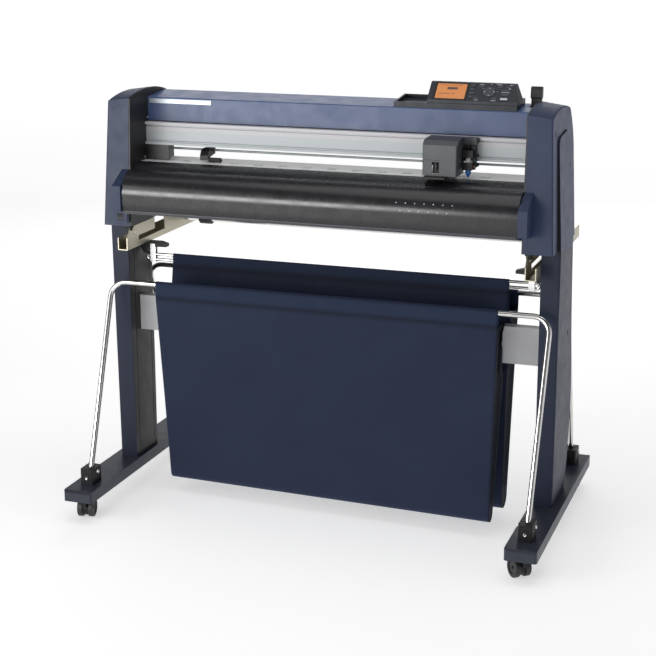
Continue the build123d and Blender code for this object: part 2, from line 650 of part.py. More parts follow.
def front_guide():
    """Curved sheet in front of the platen with two rows of small round holes."""
    sheet = strip_x(guide_line(True), GUIDE_T, -BAY_HALF, BAY_HALF)
    sheet += block(-BAY_HALF, BAY_HALF, TRAY_FRONT + 1, -150, TRAY_Z, TRAY_Z + 2.5)
    for z, count, first in ((858, 7, 214), (840, 6, 225)):
        for i in range(count):
            sheet -= along_y(first + 23 * i, -200, -140, z, 1.7)
    return sheet


def rear_guide():
    sheet = strip_x(guide_line(False), GUIDE_T, -BAY_HALF, BAY_HALF)
    return sheet + block(-BAY_HALF, BAY_HALF, 76, TRAY_REAR - 1, TRAY_Z, TRAY_Z + 3)


def y_rail():
    """Hollow extrusion with a lip and a groove along its top and its bottom, and the pinch rod."""
    lip, deep = RAIL_FRONT - RAIL_LIP, RAIL_FRONT + 4
    z0, z1 = RAIL_Z0, RAIL_Z1
    section = [(lip, z1), (lip, z1 - 5.5), (RAIL_FRONT, z1 - 5.5), (RAIL_FRONT, z1 - 8.5), (deep, z1 - 8.5)]
    section += [(deep, z1 - 11.5), (RAIL_FRONT, z1 - 11.5), (RAIL_FRONT, z0 + 12), (deep, z0 + 12)]
    section += [(deep, z0 + 9), (RAIL_FRONT, z0 + 9), (RAIL_FRONT, z0 + 6), (lip, z0 + 6), (lip, z0)]
    section += [(RAIL_REAR, z0), (RAIL_REAR, z1)]
    rail = outline_x(section, -BAY_HALF, BAY_HALF)
    rail -= block(-BAY_HALF + 5, BAY_HALF - 5, deep + 4, RAIL_REAR - 4, z0 + 4, z1 - 4)
    rod = along_x(-BAY_HALF, BAY_HALF, PIN_Y, PIN_Z, PIN_R)
    return group(rail, rod)


def feed_shaft():
    """Long shaft with a knurled grit roller at every opening of the platen."""
    shaft = along_x(-BAY_HALF - PLATE_T - 3, BAY_HALF + PLATE_T + 12, FEED_Y, FEED_Z, SHAFT_R)
    for x in grit_xs():
        shaft += along_x(x - GRIT_W / 2, x + GRIT_W / 2, FEED_Y, FEED_Z, GRIT_R)
    return shaft


def feed_motor():
    """Motor on the right end plate, in line with the feed shaft."""
    x0 = COVER_IN
    motor = block(x0, x0 + 4, FEED_Y - 24, FEED_Y + 24, FEED_Z - 24, FEED_Z + 24)
    motor += along_x(x0, x0 + 48, FEED_Y, FEED_Z, 22)
    return motor - along_x(x0 - 1, x0 + 16, FEED_Y, FEED_Z, SHAFT_R + RUNNING)


def carriage_motor():
    """Upright motor in the right cover, its shaft through the drive pulley."""
    shelf_z = PULLEY_Z0 - 5
    motor = upright(PULLEY_X, PULLEY_Y, shelf_z - 45, shelf_z, 20)
    return motor + upright(PULLEY_X, PULLEY_Y, shelf_z - 1, PULLEY_Z1 + 3, PULLEY_PIN_R)


def pulley(x):
    """Flanged belt pulley on an upright pin."""
    z0, z1 = PULLEY_Z0, PULLEY_Z1
    wheel = upright(x, PULLEY_Y, z0, z1, PULLEY_R)
    for z in (z0, z1 - 1.5):
        wheel += upright(x, PULLEY_Y, z, z + 1.5, PULLEY_R + 2)
    return wheel - upright(x, PULLEY_Y, z0 - 1, z1 + 1, PULLEY_PIN_R + RUNNING)


save("chassis_beam", chassis_beam())
save("platen", platen())
save("front_guide", front_guide())
save("rear_guide", rear_guide())
save("y_rail", y_rail())
save("feed_shaft", feed_shaft())
save("feed_motor", feed_motor())
save("carriage_motor", carriage_motor())
save("drive_pulley", pulley(PULLEY_X))
save("idler_pulley", pulley(-PULLEY_X))

# ------------------------------------------------------------ carriage and tool
CAR_X0, CAR_X1 = 259.0, 375.0
CAR_SPLIT = 346.0           # the covered part ends here, the tool stands beyond it
CAR_BACK = RAIL_FRONT - RAIL_LIP - 2
CAR_PLATE_T = 10.0
CAR_FRONT = -115.0
CAR_Z0, CAR_Z1 = 916.0, 1002.5
TOOL_X, TOOL_Y = 358.0, -57.5
HOLDER_R = 7.0
HOLDER_TIP = PLATEN_Z + 4.0


def carriage_base():
    """Plate in front of the rail with a tongue in each of its grooves."""
    front = CAR_BACK - CAR_PLATE_T
    base = block(CAR_X0, CAR_X1, front, CAR_BACK, 930, CAR_Z1)
    deep = RAIL_FRONT + 4 - SLIP
    for z0, z1 in ((RAIL_Z1 - 11.5, RAIL_Z1 - 8.5), (RAIL_Z0 + 9, RAIL_Z0 + 12)):
        base += block(CAR_X0 + 5, CAR_X1 - 5, CAR_BACK - 1, deep, z0 + SLIP, z1 - SLIP)
    return base


def carriage_cover():
    """Box cover over the carriage with a sloped top and a recess for the crosscut blade."""
    back = CAR_BACK - CAR_PLATE_T
    outline = [(back, CAR_Z0), (CAR_FRONT, CAR_Z0), (CAR_FRONT, 990), (CAR_FRONT + 14, CAR_Z1 - 3)]
    outline += [(CAR_FRONT + 30, CAR_Z1), (back, CAR_Z1)]
    shell = outline_x(outline, CAR_X0, CAR_SPLIT - 2)
    upright_edges = [e for e in shell.edges().filter_by(Axis.Z) if e.center().Y < CAR_FRONT + 1]
    shell = fillet(upright_edges, 3)
    w = 3.0
    inner = [(back + 1, CAR_Z0 - 1), (CAR_FRONT + w, CAR_Z0 - 1), (CAR_FRONT + w, 988)]
    inner += [(CAR_FRONT + 30, CAR_Z1 - w), (back + 1, CAR_Z1 - w)]
    shell -= outline_x(inner, CAR_X0 + w, CAR_SPLIT - 2 - w)
    shell -= block(CAR_X0 - 1, CAR_X0 + 43, CAR_FRONT - 1, CAR_FRONT + 1.6, 953, 956)
    shell -= block(CAR_X0 + 24, CAR_X0 + 42, CAR_FRONT - 1, CAR_FRONT + 10, 921, 949)
    return shell


def tool_slide():
    """Block that lowers the tool, with a split collar round the holder."""
    back = CAR_BACK - CAR_PLATE_T - SEAT
    slide = block(TOOL_X - 11.5, CAR_X1 - 1, back - 9, back, 926, 984)
    slide += block(TOOL_X - 11.5, TOOL_X + 12, TOOL_Y - HOLDER_R - 6.5, back - 8, 926, 944)
    slide += block(TOOL_X - 11, TOOL_X + 13, TOOL_Y - HOLDER_R - 3.5, back - 8, 956, 974)
    slide += block(TOOL_X + 11, CAR_X1, -64, -54, 931, 939)
    slide -= upright(TOOL_X, TOOL_Y, 944, 956, HOLDER_R + 3 + SEAT)
    return slide - upright(TOOL_X, TOOL_Y, 900, 1000, HOLDER_R + RUNNING)


def cutter_holder():
    """Round blade holder with a flange that sits on the collar and a tapered tip."""
    body = upright(TOOL_X, TOOL_Y, HOLDER_TIP + 9, 952, HOLDER_R)
    body += upright(TOOL_X, TOOL_Y, 944 + SEAT, 948.5, HOLDER_R + 3)
    body += Pos(TOOL_X, TOOL_Y, HOLDER_TIP + 4.5) * Cone(2.2, 6, 9)
    return body


save("carriage_base", carriage_base())
save("carriage_cover", carriage_cover())
save("tool_slide", tool_slide())
save("cutter_holder", cutter_holder())

# ------------------------------------------------------------ pinch rollers
PINCH_XS = {"left": -358.0, "right": 262.0}
PINCH_ARM_W = 22.0
PINCH_W = 34.0
PINCH_AXLE_R = 2.0
PINCH_Z = PLATEN_Z + 0.6 + PINCH_R


def pinch_arm(x):
    """Arm on the pinch rod that carries its roller on an axle beside it."""
    outline = [(-33, 921), (-33, 909), (-24, 907), (-16, 916), (17, 921), (19, 937)]
    outline += [(-14, 937.5), (-26, 932)]
    arm = outline_x(outline, x, x + PINCH_ARM_W)
    arm += along_x(x + PINCH_ARM_W - 1, x + PINCH_ARM_W + PINCH_W + 4, FEED_Y, PINCH_Z, PINCH_AXLE_R)
    return arm - along_x(x - 1, x + PINCH_ARM_W + 1, PIN_Y, PIN_Z, PIN_R + RUNNING)


def pinch_roller(x):
    x0 = x + PINCH_ARM_W + 1
    roller = along_x(x0, x0 + PINCH_W, FEED_Y, PINCH_Z, PINCH_R)
    roller = fillet(roller.edges().filter_by(GeomType.CIRCLE), 1)
    return roller - along_x(x0 - 1, x0 + PINCH_W + 1, FEED_Y, PINCH_Z, PINCH_AXLE_R + RUNNING)


for side, x in PINCH_XS.items():
    save(f"{side}_pinch_arm", pinch_arm(x))
    save(f"{side}_pinch_roller", pinch_roller(x))

# ------------------------------------------------------------ top cover, lever, control panel
TOP_WALL = 3.0
LEVER_X0, LEVER_X1 = BAY_HALF - 29.0, BAY_HALF - 1.0
HOUSING_X0, HOUSING_X1 = BAY_HALF - 356.0, BAY_HALF - 48.0
WEDGE_X0 = HOUSING_X0 + 83.0
BASE_H = 13.0
BASE_Y0, BASE_Y1 = -12.0, 84.0
FACE_LOW = (-8.0, 1085.0)
FACE_TOP = (35.0, PANEL_TOP)


def top_z(y):
    """Height of the top cover's upper surface."""
    return TOP_FRONT_Z + (TOP_REAR_Z - TOP_FRONT_Z) * (y - TOP_FRONT) / (TOP_REAR - TOP_FRONT)


def top_cover():
    """Hood over the rail, open below, with ribs that stand on the rail and a slot for the lever."""
    outer = [(TOP_FRONT, TOP_Z0), (TOP_FRONT, TOP_FRONT_Z), (TOP_REAR, TOP_REAR_Z), (TOP_REAR, 950)]
    w = TOP_WALL
    outer += [(TOP_REAR - w, 950), (TOP_REAR - w, TOP_REAR_Z - w), (TOP_FRONT + w, TOP_FRONT_Z - w)]
    outer += [(TOP_FRONT + w, TOP_Z0)]
    hood = outline_x(outer, -BAY_HALF, BAY_HALF)
    brow = [e for e in hood.edges().filter_by(Axis.X) if e.center().Z > TOP_FRONT_Z - 0.5]
    hood = fillet(brow, 3)
    for x in (-400, -130, 130, 400):
        rib = [(TOP_FRONT + w - 1, RAIL_Z1), (20, RAIL_Z1), (20, top_z(20) - w + 1)]
        rib += [(TOP_FRONT + w - 1, TOP_FRONT_Z - w + 1)]
        hood += outline_x(rib, x - 2, x + 2)
    return hood - block(LEVER_X0 - 3, BAY_HALF + 1, LEVER_Y - 18, TOP_REAR + 1, LEVER_Z - 20, TOP_REAR_Z + 5)


def set_lever():
    """Paddle on a narrower neck that lifts the pinch rollers, pivoted in the right end plate."""
    neck = block(LEVER_X0 + 1.5, LEVER_X1 - 1.5, LEVER_Y - 6, LEVER_Y + 6, LEVER_Z, 1094)
    head = [(LEVER_Y - 6, 1090), (LEVER_Y - 9, 1093), (LEVER_Y - 8, 1113), (LEVER_Y - 1, 1119)]
    head += [(LEVER_Y + 8, 1116), (LEVER_Y + 8, 1093), (LEVER_Y + 6, 1090)]
    paddle = outline_x(head, LEVER_X0, LEVER_X1)
    paddle = fillet([e for e in paddle.edges().filter_by(Axis.X) if e.center().Z > 1112], 2)
    paddle += neck + along_x(LEVER_X0, LEVER_X1, LEVER_Y, LEVER_Z, 7)
    return paddle + along_x(LEVER_X1 - 1, COVER_IN - 0.3, LEVER_Y, LEVER_Z, LEVER_PIN_R)


def face_plane():
    """Plane of the sloped key panel: local x is X, local y climbs from its lower edge."""
    rise = Vector(0, FACE_TOP[0] - FACE_LOW[0], FACE_TOP[1] - FACE_LOW[1])
    normal = Vector(1, 0, 0).cross(rise)
    return Plane(origin=(0, FACE_LOW[0], FACE_LOW[1]), x_dir=(1, 0, 0), z_dir=normal)


SCREEN = (WEDGE_X0 + 18, WEDGE_X0 + 92, 6.0, 53.0)      # x from, x to, climb from, climb to
SCREEN_T = 1.2
KEY_PROUD = 1.2
KEY_SUNK = 3.0
KEY_TRAVEL = 1.0
SOFT_KEY_X = WEDGE_X0 + 107.0
SOFT_KEYS = {f"soft_key_{i + 1}": 48.0 - 11.5 * i for i in range(4)}
RING_X, RING_UP = WEDGE_X0 + 150.0, 30.0
RING_R, RING_IN = 15.0, 7.5
PAUSE_X, PAUSE_UP = WEDGE_X0 + 190.0, 9.0


def key_shapes():
    """Outline of each key on the sloped panel."""
    shapes = {}
    for name, up in SOFT_KEYS.items():
        shapes[name] = Pos(SOFT_KEY_X, up) * RectangleRounded(11, 7, 2)
    ring = Pos(RING_X, RING_UP) * (Circle(RING_R) - Circle(RING_IN + KEY_GAP))
    shapes["arrow_pad"] = ring
    shapes["enter_key"] = Pos(RING_X, RING_UP) * Circle(RING_IN)
    shapes["pause_key"] = Pos(PAUSE_X, PAUSE_UP) * SlotOverall(20, 9)
    return shapes


def key_wells():
    """Openings that the keys sit in, wider than the keys by the key gap."""
    wells = Sketch()
    for up in SOFT_KEYS.values():
        wells += Pos(SOFT_KEY_X, up) * RectangleRounded(11 + 2 * KEY_GAP, 7 + 2 * KEY_GAP, 2)
    wells += Pos(RING_X, RING_UP) * Circle(RING_R + KEY_GAP)
    wells += Pos(PAUSE_X, PAUSE_UP) * SlotOverall(20 + 2 * KEY_GAP, 9 + 2 * KEY_GAP)
    return wells


def panel_housing():
    """Base with a small-parts tray and a wedge that carries the screen and the keys."""
    y0, y1 = BASE_Y0, BASE_Y1
    base_outline = [(y0, top_z(y0) + SEAT), (y0, top_z(y0) + BASE_H), (y1, top_z(y1) + BASE_H)]
    base_outline += [(y1, top_z(y1) + SEAT)]
    base = outline_x(base_outline, HOUSING_X0, HOUSING_X1)
    lean = (TOP_REAR_Z - TOP_FRONT_Z) / (TOP_REAR - TOP_FRONT)
    tray = []
    for y in (y0 + 5, y1 - 5):
        floor = (y, top_z(y) + 4)
        side = [floor, (y - lean * 30, floor[1] + 30)]
        tray += side if y < y1 / 2 else side[::-1]
    base -= outline_x(tray, HOUSING_X0 + 5, WEDGE_X0 - 3)
    foot_z = top_z(FACE_LOW[0]) + 8
    wedge_outline = [(FACE_LOW[0] - 1, foot_z), FACE_LOW, FACE_TOP, (FACE_TOP[0] + 14, PANEL_TOP)]
    wedge_outline += [(62, top_z(62) + 8)]
    wedge = outline_x(wedge_outline, WEDGE_X0, HOUSING_X1)
    slant = [(HOUSING_X1 - 13, PANEL_TOP + 1), (HOUSING_X1 + 1, 1080), (HOUSING_X1 + 1, PANEL_TOP + 1)]
    wedge -= outline_y(slant, -40, 90)
    body = base + wedge
    face = face_plane()
    depth = KEY_SUNK + KEY_TRAVEL + SEAT
    body -= extrude(face * key_wells(), -depth)
    x0, x1, u0, u1 = SCREEN
    pocket = Pos((x0 + x1) / 2, (u0 + u1) / 2) * Rectangle(x1 - x0 + 1, u1 - u0 + 1)
    body -= extrude(face * pocket, -(SCREEN_T + SEAT))
    hollow = [(6, top_z(6) - 2), (6, 1084), (34, 1109), (48, 1109), (54, 1084), (54, top_z(54) - 2)]
    body -= outline_x(hollow, WEDGE_X0 + 8, HOUSING_X1 - 34)
    return body


def display():
    x0, x1, u0, u1 = SCREEN
    glass = Pos((x0 + x1) / 2, (u0 + u1) / 2) * RectangleRounded(x1 - x0, u1 - u0, 2)
    return extrude(face_plane().offset(-SCREEN_T) * glass, SCREEN_T)


def key(shape):
    cap = extrude(face_plane().offset(-KEY_SUNK) * shape, KEY_SUNK + KEY_PROUD)
    return cap


def power_switch():
    """Rocker in the bezel of the left side cover."""
    xm, zm = (SWITCH_X0 + SWITCH_X1) / 2, (SWITCH_Z0 + SWITCH_Z1) / 2
    w, h = ROCKER_W / 2, ROCKER_H / 2
    outline = [(SWITCH_FRONT + 9, zm - h + 2), (SWITCH_FRONT - 0.5, zm - h), (SWITCH_FRONT + 1, zm)]
    outline += [(SWITCH_FRONT + 0.5, zm + h), (SWITCH_FRONT + 9, zm + h - 2)]
    return left_of(outline_x(outline, xm - w, xm + w))


save("top_cover", top_cover())
save("set_lever", set_lever())
save("panel_housing", panel_housing())
save("display", display())
for key_name, key_shape in key_shapes().items():
    save(key_name, key(key_shape))
save("power_switch", power_switch())
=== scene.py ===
import json
from math import ceil, cos, exp, hypot, pi, radians, sin

import bmesh
import bpy
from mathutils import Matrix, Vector


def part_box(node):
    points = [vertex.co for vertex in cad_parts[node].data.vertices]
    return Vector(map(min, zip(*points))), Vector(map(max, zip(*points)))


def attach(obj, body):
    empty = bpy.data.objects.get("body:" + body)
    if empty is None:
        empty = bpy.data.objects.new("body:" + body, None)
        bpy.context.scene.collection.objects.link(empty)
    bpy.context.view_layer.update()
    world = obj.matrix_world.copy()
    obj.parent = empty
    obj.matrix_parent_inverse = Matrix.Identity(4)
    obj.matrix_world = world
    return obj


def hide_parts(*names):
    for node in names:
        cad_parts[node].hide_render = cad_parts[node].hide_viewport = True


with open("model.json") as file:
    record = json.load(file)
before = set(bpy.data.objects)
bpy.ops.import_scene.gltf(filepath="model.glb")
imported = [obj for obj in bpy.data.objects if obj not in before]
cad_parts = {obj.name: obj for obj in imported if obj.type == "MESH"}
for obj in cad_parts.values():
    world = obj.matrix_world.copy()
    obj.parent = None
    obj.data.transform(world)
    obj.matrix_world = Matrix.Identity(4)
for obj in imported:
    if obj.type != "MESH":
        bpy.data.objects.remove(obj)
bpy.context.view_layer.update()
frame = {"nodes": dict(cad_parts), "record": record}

# Working millimetres: x across, y from front (-) to rear (+) with 0 at the middle of the feet, z up.
MID_Y = 36.25


def at(x, y, z):
    """A working point in millimetres, as metres in the shared frame."""
    return Vector((x / 1000, (y - MID_Y) / 1000, z / 1000))


# ---------------------------------------------------------------- material graphs
class Look:
    """A Principled material and short names for the nodes that feed it."""

    def __init__(self, name, colour, rough, metal=0.0, **sockets):
        self.mat = bpy.data.materials.new(name)
        self.mat.use_nodes = True
        self.tree = self.mat.node_tree
        self.shader = self.tree.nodes["Principled BSDF"]
        self.coords = self.node("ShaderNodeTexCoord")
        self.place = self.coords.outputs["Object"]
        self.set("Base Color", (*colour, 1))
        self.set("Roughness", rough)
        self.set("Metallic", metal)
        for key, value in sockets.items():
            self.set(key.replace("_", " "), value)

    def node(self, kind, **values):
        made = self.tree.nodes.new(kind)
        for key, value in values.items():
            setattr(made, key, value)
        return made

    def set(self, socket, value):
        self.shader.inputs[socket].default_value = value

    def link(self, a, b):
        self.tree.links.new(a, b)

    def feed(self, socket, output):
        self.link(output, self.shader.inputs[socket])

    def stretched(self, sx, sy, sz, source=None):
        mapping = self.node("ShaderNodeMapping")
        mapping.inputs["Scale"].default_value = (sx, sy, sz)
        self.link(source or self.place, mapping.inputs["Vector"])
        return mapping.outputs[0]

    def noise(self, scale, detail=3.0, rough=0.5, vector=None):
        made = self.node("ShaderNodeTexNoise")
        made.inputs["Scale"].default_value = scale
        made.inputs["Detail"].default_value = detail
        made.inputs["Roughness"].default_value = rough
        self.link(vector or self.place, made.inputs["Vector"])
        return made.outputs["Fac"]

    def wave(self, scale, direction, vector=None, distort=0.0):
        made = self.node("ShaderNodeTexWave", bands_direction=direction)
        made.inputs["Scale"].default_value = scale
        made.inputs["Distortion"].default_value = distort
        self.link(vector or self.place, made.inputs["Vector"])
        return made.outputs["Fac"]

    def ramp(self, value, *stops):
        made = self.node("ShaderNodeValToRGB")
        bar = made.color_ramp
        while len(bar.elements) < len(stops):
            bar.elements.new(0.5)
        for element, (where, colour) in zip(bar.elements, stops):
            element.position = where
            element.color = (*colour, 1) if len(colour) == 3 else colour
        self.link(value, made.inputs[0])
        return made.outputs[0]

    def span(self, value, low, high, to_low, to_high):
        made = self.node("ShaderNodeMapRange")
        for slot, number in zip(("From Min", "From Max", "To Min", "To Max"), (low, high, to_low, to_high)):
            made.inputs[slot].default_value = number
        self.link(value, made.inputs["Value"])
        return made.outputs[0]

    def maths(self, what, a, b=None):
        made = self.node("ShaderNodeMath", operation=what)
        for slot, value in zip(made.inputs, (a, b)):
            if value is None:
                continue
            if isinstance(value, (int, float)):
                slot.default_value = value
            else:
                self.link(value, slot)
        return made.outputs[0]

    def blend(self, amount, a, b, how="MIX"):
        made = self.node("ShaderNodeMix", data_type="RGBA", blend_type=how)
        for slot, value in zip((made.inputs[0], made.inputs[6], made.inputs[7]), (amount, a, b)):
            if isinstance(value, tuple):
                slot.default_value = (*value, 1)
            elif isinstance(value, (int, float)):
                slot.default_value = value
            else:
                self.link(value, slot)
        return made.outputs[2]

    def axis(self, which, vector=None):
        made = self.node("ShaderNodeSeparateXYZ")
        self.link(vector or self.place, made.inputs[0])
        return made.outputs["XYZ".index(which)]

    def bump(self, height, strength, depth):
        made = self.node("ShaderNodeBump")
        made.inputs["Strength"].default_value = strength
        made.inputs["Distance"].default_value = depth
        self.link(height, made.inputs["Height"])
        self.feed("Normal", made.outputs[0])


def tint(colour, k):
    return tuple(min(1.0, c * k) for c in colour)


def satin(name, colour, rough, grain=700, grain_depth=0.00012, cloud=0.08, **sockets):
    """Painted or moulded surface: faint clouding, fine grain, uneven gloss."""
    look = Look(name, colour, rough, **sockets)
    cloudy = look.noise(9, 4, 0.6)
    tone = look.ramp(cloudy, (0.3, tint(colour, 1 - cloud)), (0.7, tint(colour, 1 + cloud)))
    speck = look.noise(2600, 2, 0.6)
    tone = look.blend(look.span(speck, 0.62, 0.75, 0, 0.10), tone, tint(colour, 1.7))
    look.feed("Base Color", tone)
    smudge = look.noise(26, 5, 0.65)
    look.feed("Roughness", look.span(smudge, 0.3, 0.7, rough - 0.05, rough + 0.06))
    look.bump(look.noise(grain, 3, 0.55), 0.35, grain_depth)
    return look


def brushed(name, colour, rough, along="X", metal=1.0, depth=0.00006, contrast=0.10, **sockets):
    """Metal with fine lines along one axis."""
    look = Look(name, colour, rough, metal, **sockets)
    scale = [900.0, 900.0, 900.0]
    scale["XYZ".index(along)] = 6.0
    lines = look.noise(1, 4, 0.7, look.stretched(*scale))
    cloudy = look.noise(7, 3, 0.5)
    tone = look.ramp(lines, (0.25, tint(colour, 1 - contrast)), (0.75, tint(colour, 1 + contrast)))
    tone = look.blend(look.span(cloudy, 0.35, 0.65, 0.0, 0.12), tone, tint(colour, 0.75))
    look.feed("Base Color", tone)
    look.feed("Roughness", look.span(lines, 0.2, 0.8, rough - 0.06, rough + 0.08))
    look.bump(lines, 0.3, depth)
    return look


looks = {}
looks["navy_paint"] = satin("navy_paint", (0.014, 0.022, 0.050), 0.46, IOR=1.33)
looks["navy_cover"] = satin("navy_cover", (0.026, 0.041, 0.098), 0.48, 1500, 0.00010, IOR=1.38)
looks["slate_cover"] = satin("slate_cover", (0.074, 0.120, 0.262), 0.42, 1500, 0.00008, 0.05, IOR=1.45)
looks["charcoal_guide"] = satin("charcoal_guide", (0.017, 0.017, 0.020), 0.27, 1200, 0.00002, 0.06, IOR=1.5)
looks["black_steel"] = satin("black_steel", (0.012, 0.012, 0.014), 0.48, IOR=1.5)
looks["black_plastic"] = satin("black_plastic", (0.010, 0.010, 0.012), 0.44, 1800, 0.0001, IOR=1.36)
looks["key_plastic"] = satin("key_plastic", (0.034, 0.038, 0.058), 0.38, 2400, 0.00005, IOR=1.5)
looks["grey_paint"] = satin("grey_paint", (0.88, 0.885, 0.90), 0.42, IOR=1.5)
looks["platen_grey"] = brushed("platen_grey", (0.86, 0.86, 0.85), 0.45, "X", 0.15)
looks["aluminium"] = brushed("aluminium", (0.78, 0.80, 0.82), 0.34, "X", 0.9)
looks["bright_steel"] = brushed("bright_steel", (0.70, 0.70, 0.69), 0.28, "X", 1.0)
looks["zinc_steel"] = brushed("zinc_steel", (0.48, 0.45, 0.35), 0.40, "Y", 0.9)
looks["roller_rubber"] = satin("roller_rubber", (0.022, 0.022, 0.023), 0.7, 2200, 0.0002)
looks["caster_rubber"] = satin("caster_rubber", (0.020, 0.020, 0.021), 0.55, 1400, 0.0002)
carriage_grey = satin("carriage_grey", (0.064, 0.068, 0.079), 0.46, 1500, 0.00010, 0.05, IOR=1.5)
foot_paint = satin("foot_paint", (0.036, 0.042, 0.064), 0.42, IOR=1.4)
panel_grey = satin("panel_grey", (0.018, 0.021, 0.031), 0.46, 1500, 0.00010, 0.05, IOR=1.4)


def chrome_look(name, colour, rough):
    look = Look(name, colour, rough, 1.0)
    cloudy = look.noise(30, 4, 0.6)
    look.feed("Base Color", look.ramp(cloudy, (0.3, tint(colour, 0.93)), (0.7, tint(colour, 1.04))))
    look.feed("Roughness", look.span(look.noise(90, 4, 0.7), 0.3, 0.7, rough - 0.02, rough + 0.05))
    return look


looks["chrome_tube"] = chrome_look("chrome_tube", (0.66, 0.655, 0.64), 0.13)


STOPPER_FROM, STOPPER_TO = 0.4455, 0.4785     # metres from the middle of the machine


def shaft_look():
    """Plated roll shaft with black rubber stoppers, told apart by their place along the shaft."""
    look = chrome_look("roll_shaft", (0.80, 0.79, 0.77), 0.14)
    along = look.maths("ABSOLUTE", look.axis("X"))
    past = look.maths("GREATER_THAN", along, STOPPER_FROM)
    stop = look.maths("MULTIPLY", past, look.maths("LESS_THAN", along, STOPPER_TO))
    plated = look.ramp(look.noise(30, 4, 0.6), (0.3, (0.74, 0.73, 0.71)), (0.7, (0.83, 0.82, 0.80)))
    look.feed("Base Color", look.blend(stop, plated, (0.014, 0.014, 0.015)))
    look.feed("Metallic", look.span(stop, 0, 1, 1, 0))
    look.feed("Roughness", look.span(stop, 0, 1, 0.15, 0.55))
    return look


shafts = shaft_look()


def screen_look():
    """Lit orange display with a title bar and a few plain strokes, set out on the sloped face."""
    look = Look("screen", (0.9, 0.36, 0.07), 0.25)
    x = look.axis("X")
    up = look.axis("Z")

    def inside(value, low, high):
        over = look.maths("GREATER_THAN", value, low)
        return look.maths("MULTIPLY", over, look.maths("LESS_THAN", value, high))

    def patch(x0, x1, z0, z1):
        return look.maths("MULTIPLY", inside(x, x0 / 1000, x1 / 1000), inside(up, z0 / 1000, z1 / 1000))

    bars = patch(282, 308, 1108.5, 1113.5)
    strokes = (patch(264, 290, 1099.0, 1100.2), patch(296, 303, 1099.0, 1100.2),
               patch(264, 320, 1117.5, 1118.1))
    for part in strokes:
        bars = look.maths("MAXIMUM", bars, part)
    glow = look.ramp(look.noise(14, 2, 0.5), (0.3, (0.62, 0.20, 0.040)), (0.7, (0.68, 0.24, 0.055)))
    ink = look.blend(bars, glow, (0.06, 0.035, 0.025))
    look.feed("Base Color", ink)
    look.feed("Emission Color", ink)
    look.set("Emission Strength", 0.22)
    look.bump(look.noise(900, 2, 0.5), 0.02, 0.0001)
    return look


looks["screen"] = screen_look()


def holder_look():
    """Blue blade holder with a white cap ring."""
    look = Look("holder_blue", (0.03, 0.20, 0.70), 0.3, IOR=1.5)
    z = look.axis("Z")
    band = look.maths("GREATER_THAN", z, 0.9425)
    grip = look.ramp(look.noise(300, 2, 0.5), (0.3, (0.025, 0.17, 0.62)), (0.7, (0.045, 0.25, 0.80)))
    look.feed("Base Color", look.blend(band, grip, (0.72, 0.74, 0.76)))
    look.bump(look.noise(1500, 2, 0.5), 0.1, 0.0001)
    return look


looks["holder_blue"] = holder_look()


def rail_look():
    """Clear anodised extrusion: a bright upper flat painted as lit, and a cooler lower flat painted as shade
    and tinted blue as a painted reflection.
    """
    look = brushed("rail_aluminium", (0.80, 0.82, 0.84), 0.52, "X", 0.1)
    lines = look.noise(1, 4, 0.7, look.stretched(6, 900, 900))
    z = look.axis("Z")
    # below the lip the rail gets a darker, bluer copy of its colour: painted shade and painted reflection on
    # the lower flat
    shaded_lower_flat = look.maths("LESS_THAN", z, 0.9795)
    lit_upper_tone = look.ramp(lines, (0.2, (0.62, 0.615, 0.64)), (0.8, (0.70, 0.695, 0.72)))
    blue = look.ramp(lines, (0.2, (0.54, 0.585, 0.60)), (0.8, (0.62, 0.66, 0.675)))
    look.feed("Base Color", look.blend(shaded_lower_flat, lit_upper_tone, blue))
    return look


rail = rail_look()


def woven_look(name, dark, light, top_line=True):
    """Plain woven polyester: two thread sets from the cloth's own UV, in metres, with sewn lines painted
    darker, partly as painted shade in the seam's crease.
    """
    look = Look(name, dark, 0.82, Sheen_Weight=0.12, Sheen_Roughness=0.5, Sheen_Tint=(0.5, 0.6, 0.9, 1),
                Specular_IOR_Level=0.2)
    uv = look.coords.outputs["UV"]
    warp = look.wave(380, "X", uv)
    weft = look.wave(380, "Y", uv)
    over = look.maths("MULTIPLY", warp, weft)
    cloudy = look.noise(5, 5, 0.62, uv)
    slub = look.noise(1, 3, 0.6, look.stretched(420, 18, 1, uv))
    tone = look.ramp(cloudy, (0.3, dark), (0.72, light))
    tone = look.blend(look.span(slub, 0.3, 0.7, 0.0, 0.35), tone, tint(light, 1.35))
    tone = look.blend(look.span(over, 0.0, 1.0, 0.30, 0.0), tone, tint(dark, 0.55))
    if top_line:
        # the seam mask darkens the sewn lines: partly the stitching, partly painted shade in the crease of
        # the seam
        seam_and_shade = look.node("ShaderNodeAttribute", attribute_name="seam_and_shade")
        tone = look.blend(seam_and_shade.outputs["Fac"], tone, tint(dark, 0.42))
        hem = look.node("ShaderNodeAttribute", attribute_name="sleeve")
        tone = look.blend(hem.outputs["Fac"], tone, (0.020, 0.034, 0.080))
    look.feed("Base Color", tone)
    look.feed("Roughness", look.span(slub, 0.3, 0.7, 0.76, 0.9))
    look.bump(look.blend(0.35, over, look.noise(160, 4, 0.7, uv)), 0.5, 0.0004)
    return look


looks["basket_fabric"] = woven_look("basket_fabric", (0.018, 0.027, 0.061), (0.026, 0.038, 0.080))
black_cloth = woven_look("gusset_fabric", (0.0015, 0.0015, 0.002), (0.003, 0.003, 0.0035), False)


def speckled(name, colour, rough, scale, dark, light):
    """Flat paint with a fine speckle between two tones."""
    look = Look(name, colour, rough)
    look.feed("Base Color", look.ramp(look.noise(scale), (0.3, dark), (0.7, light)))
    return look


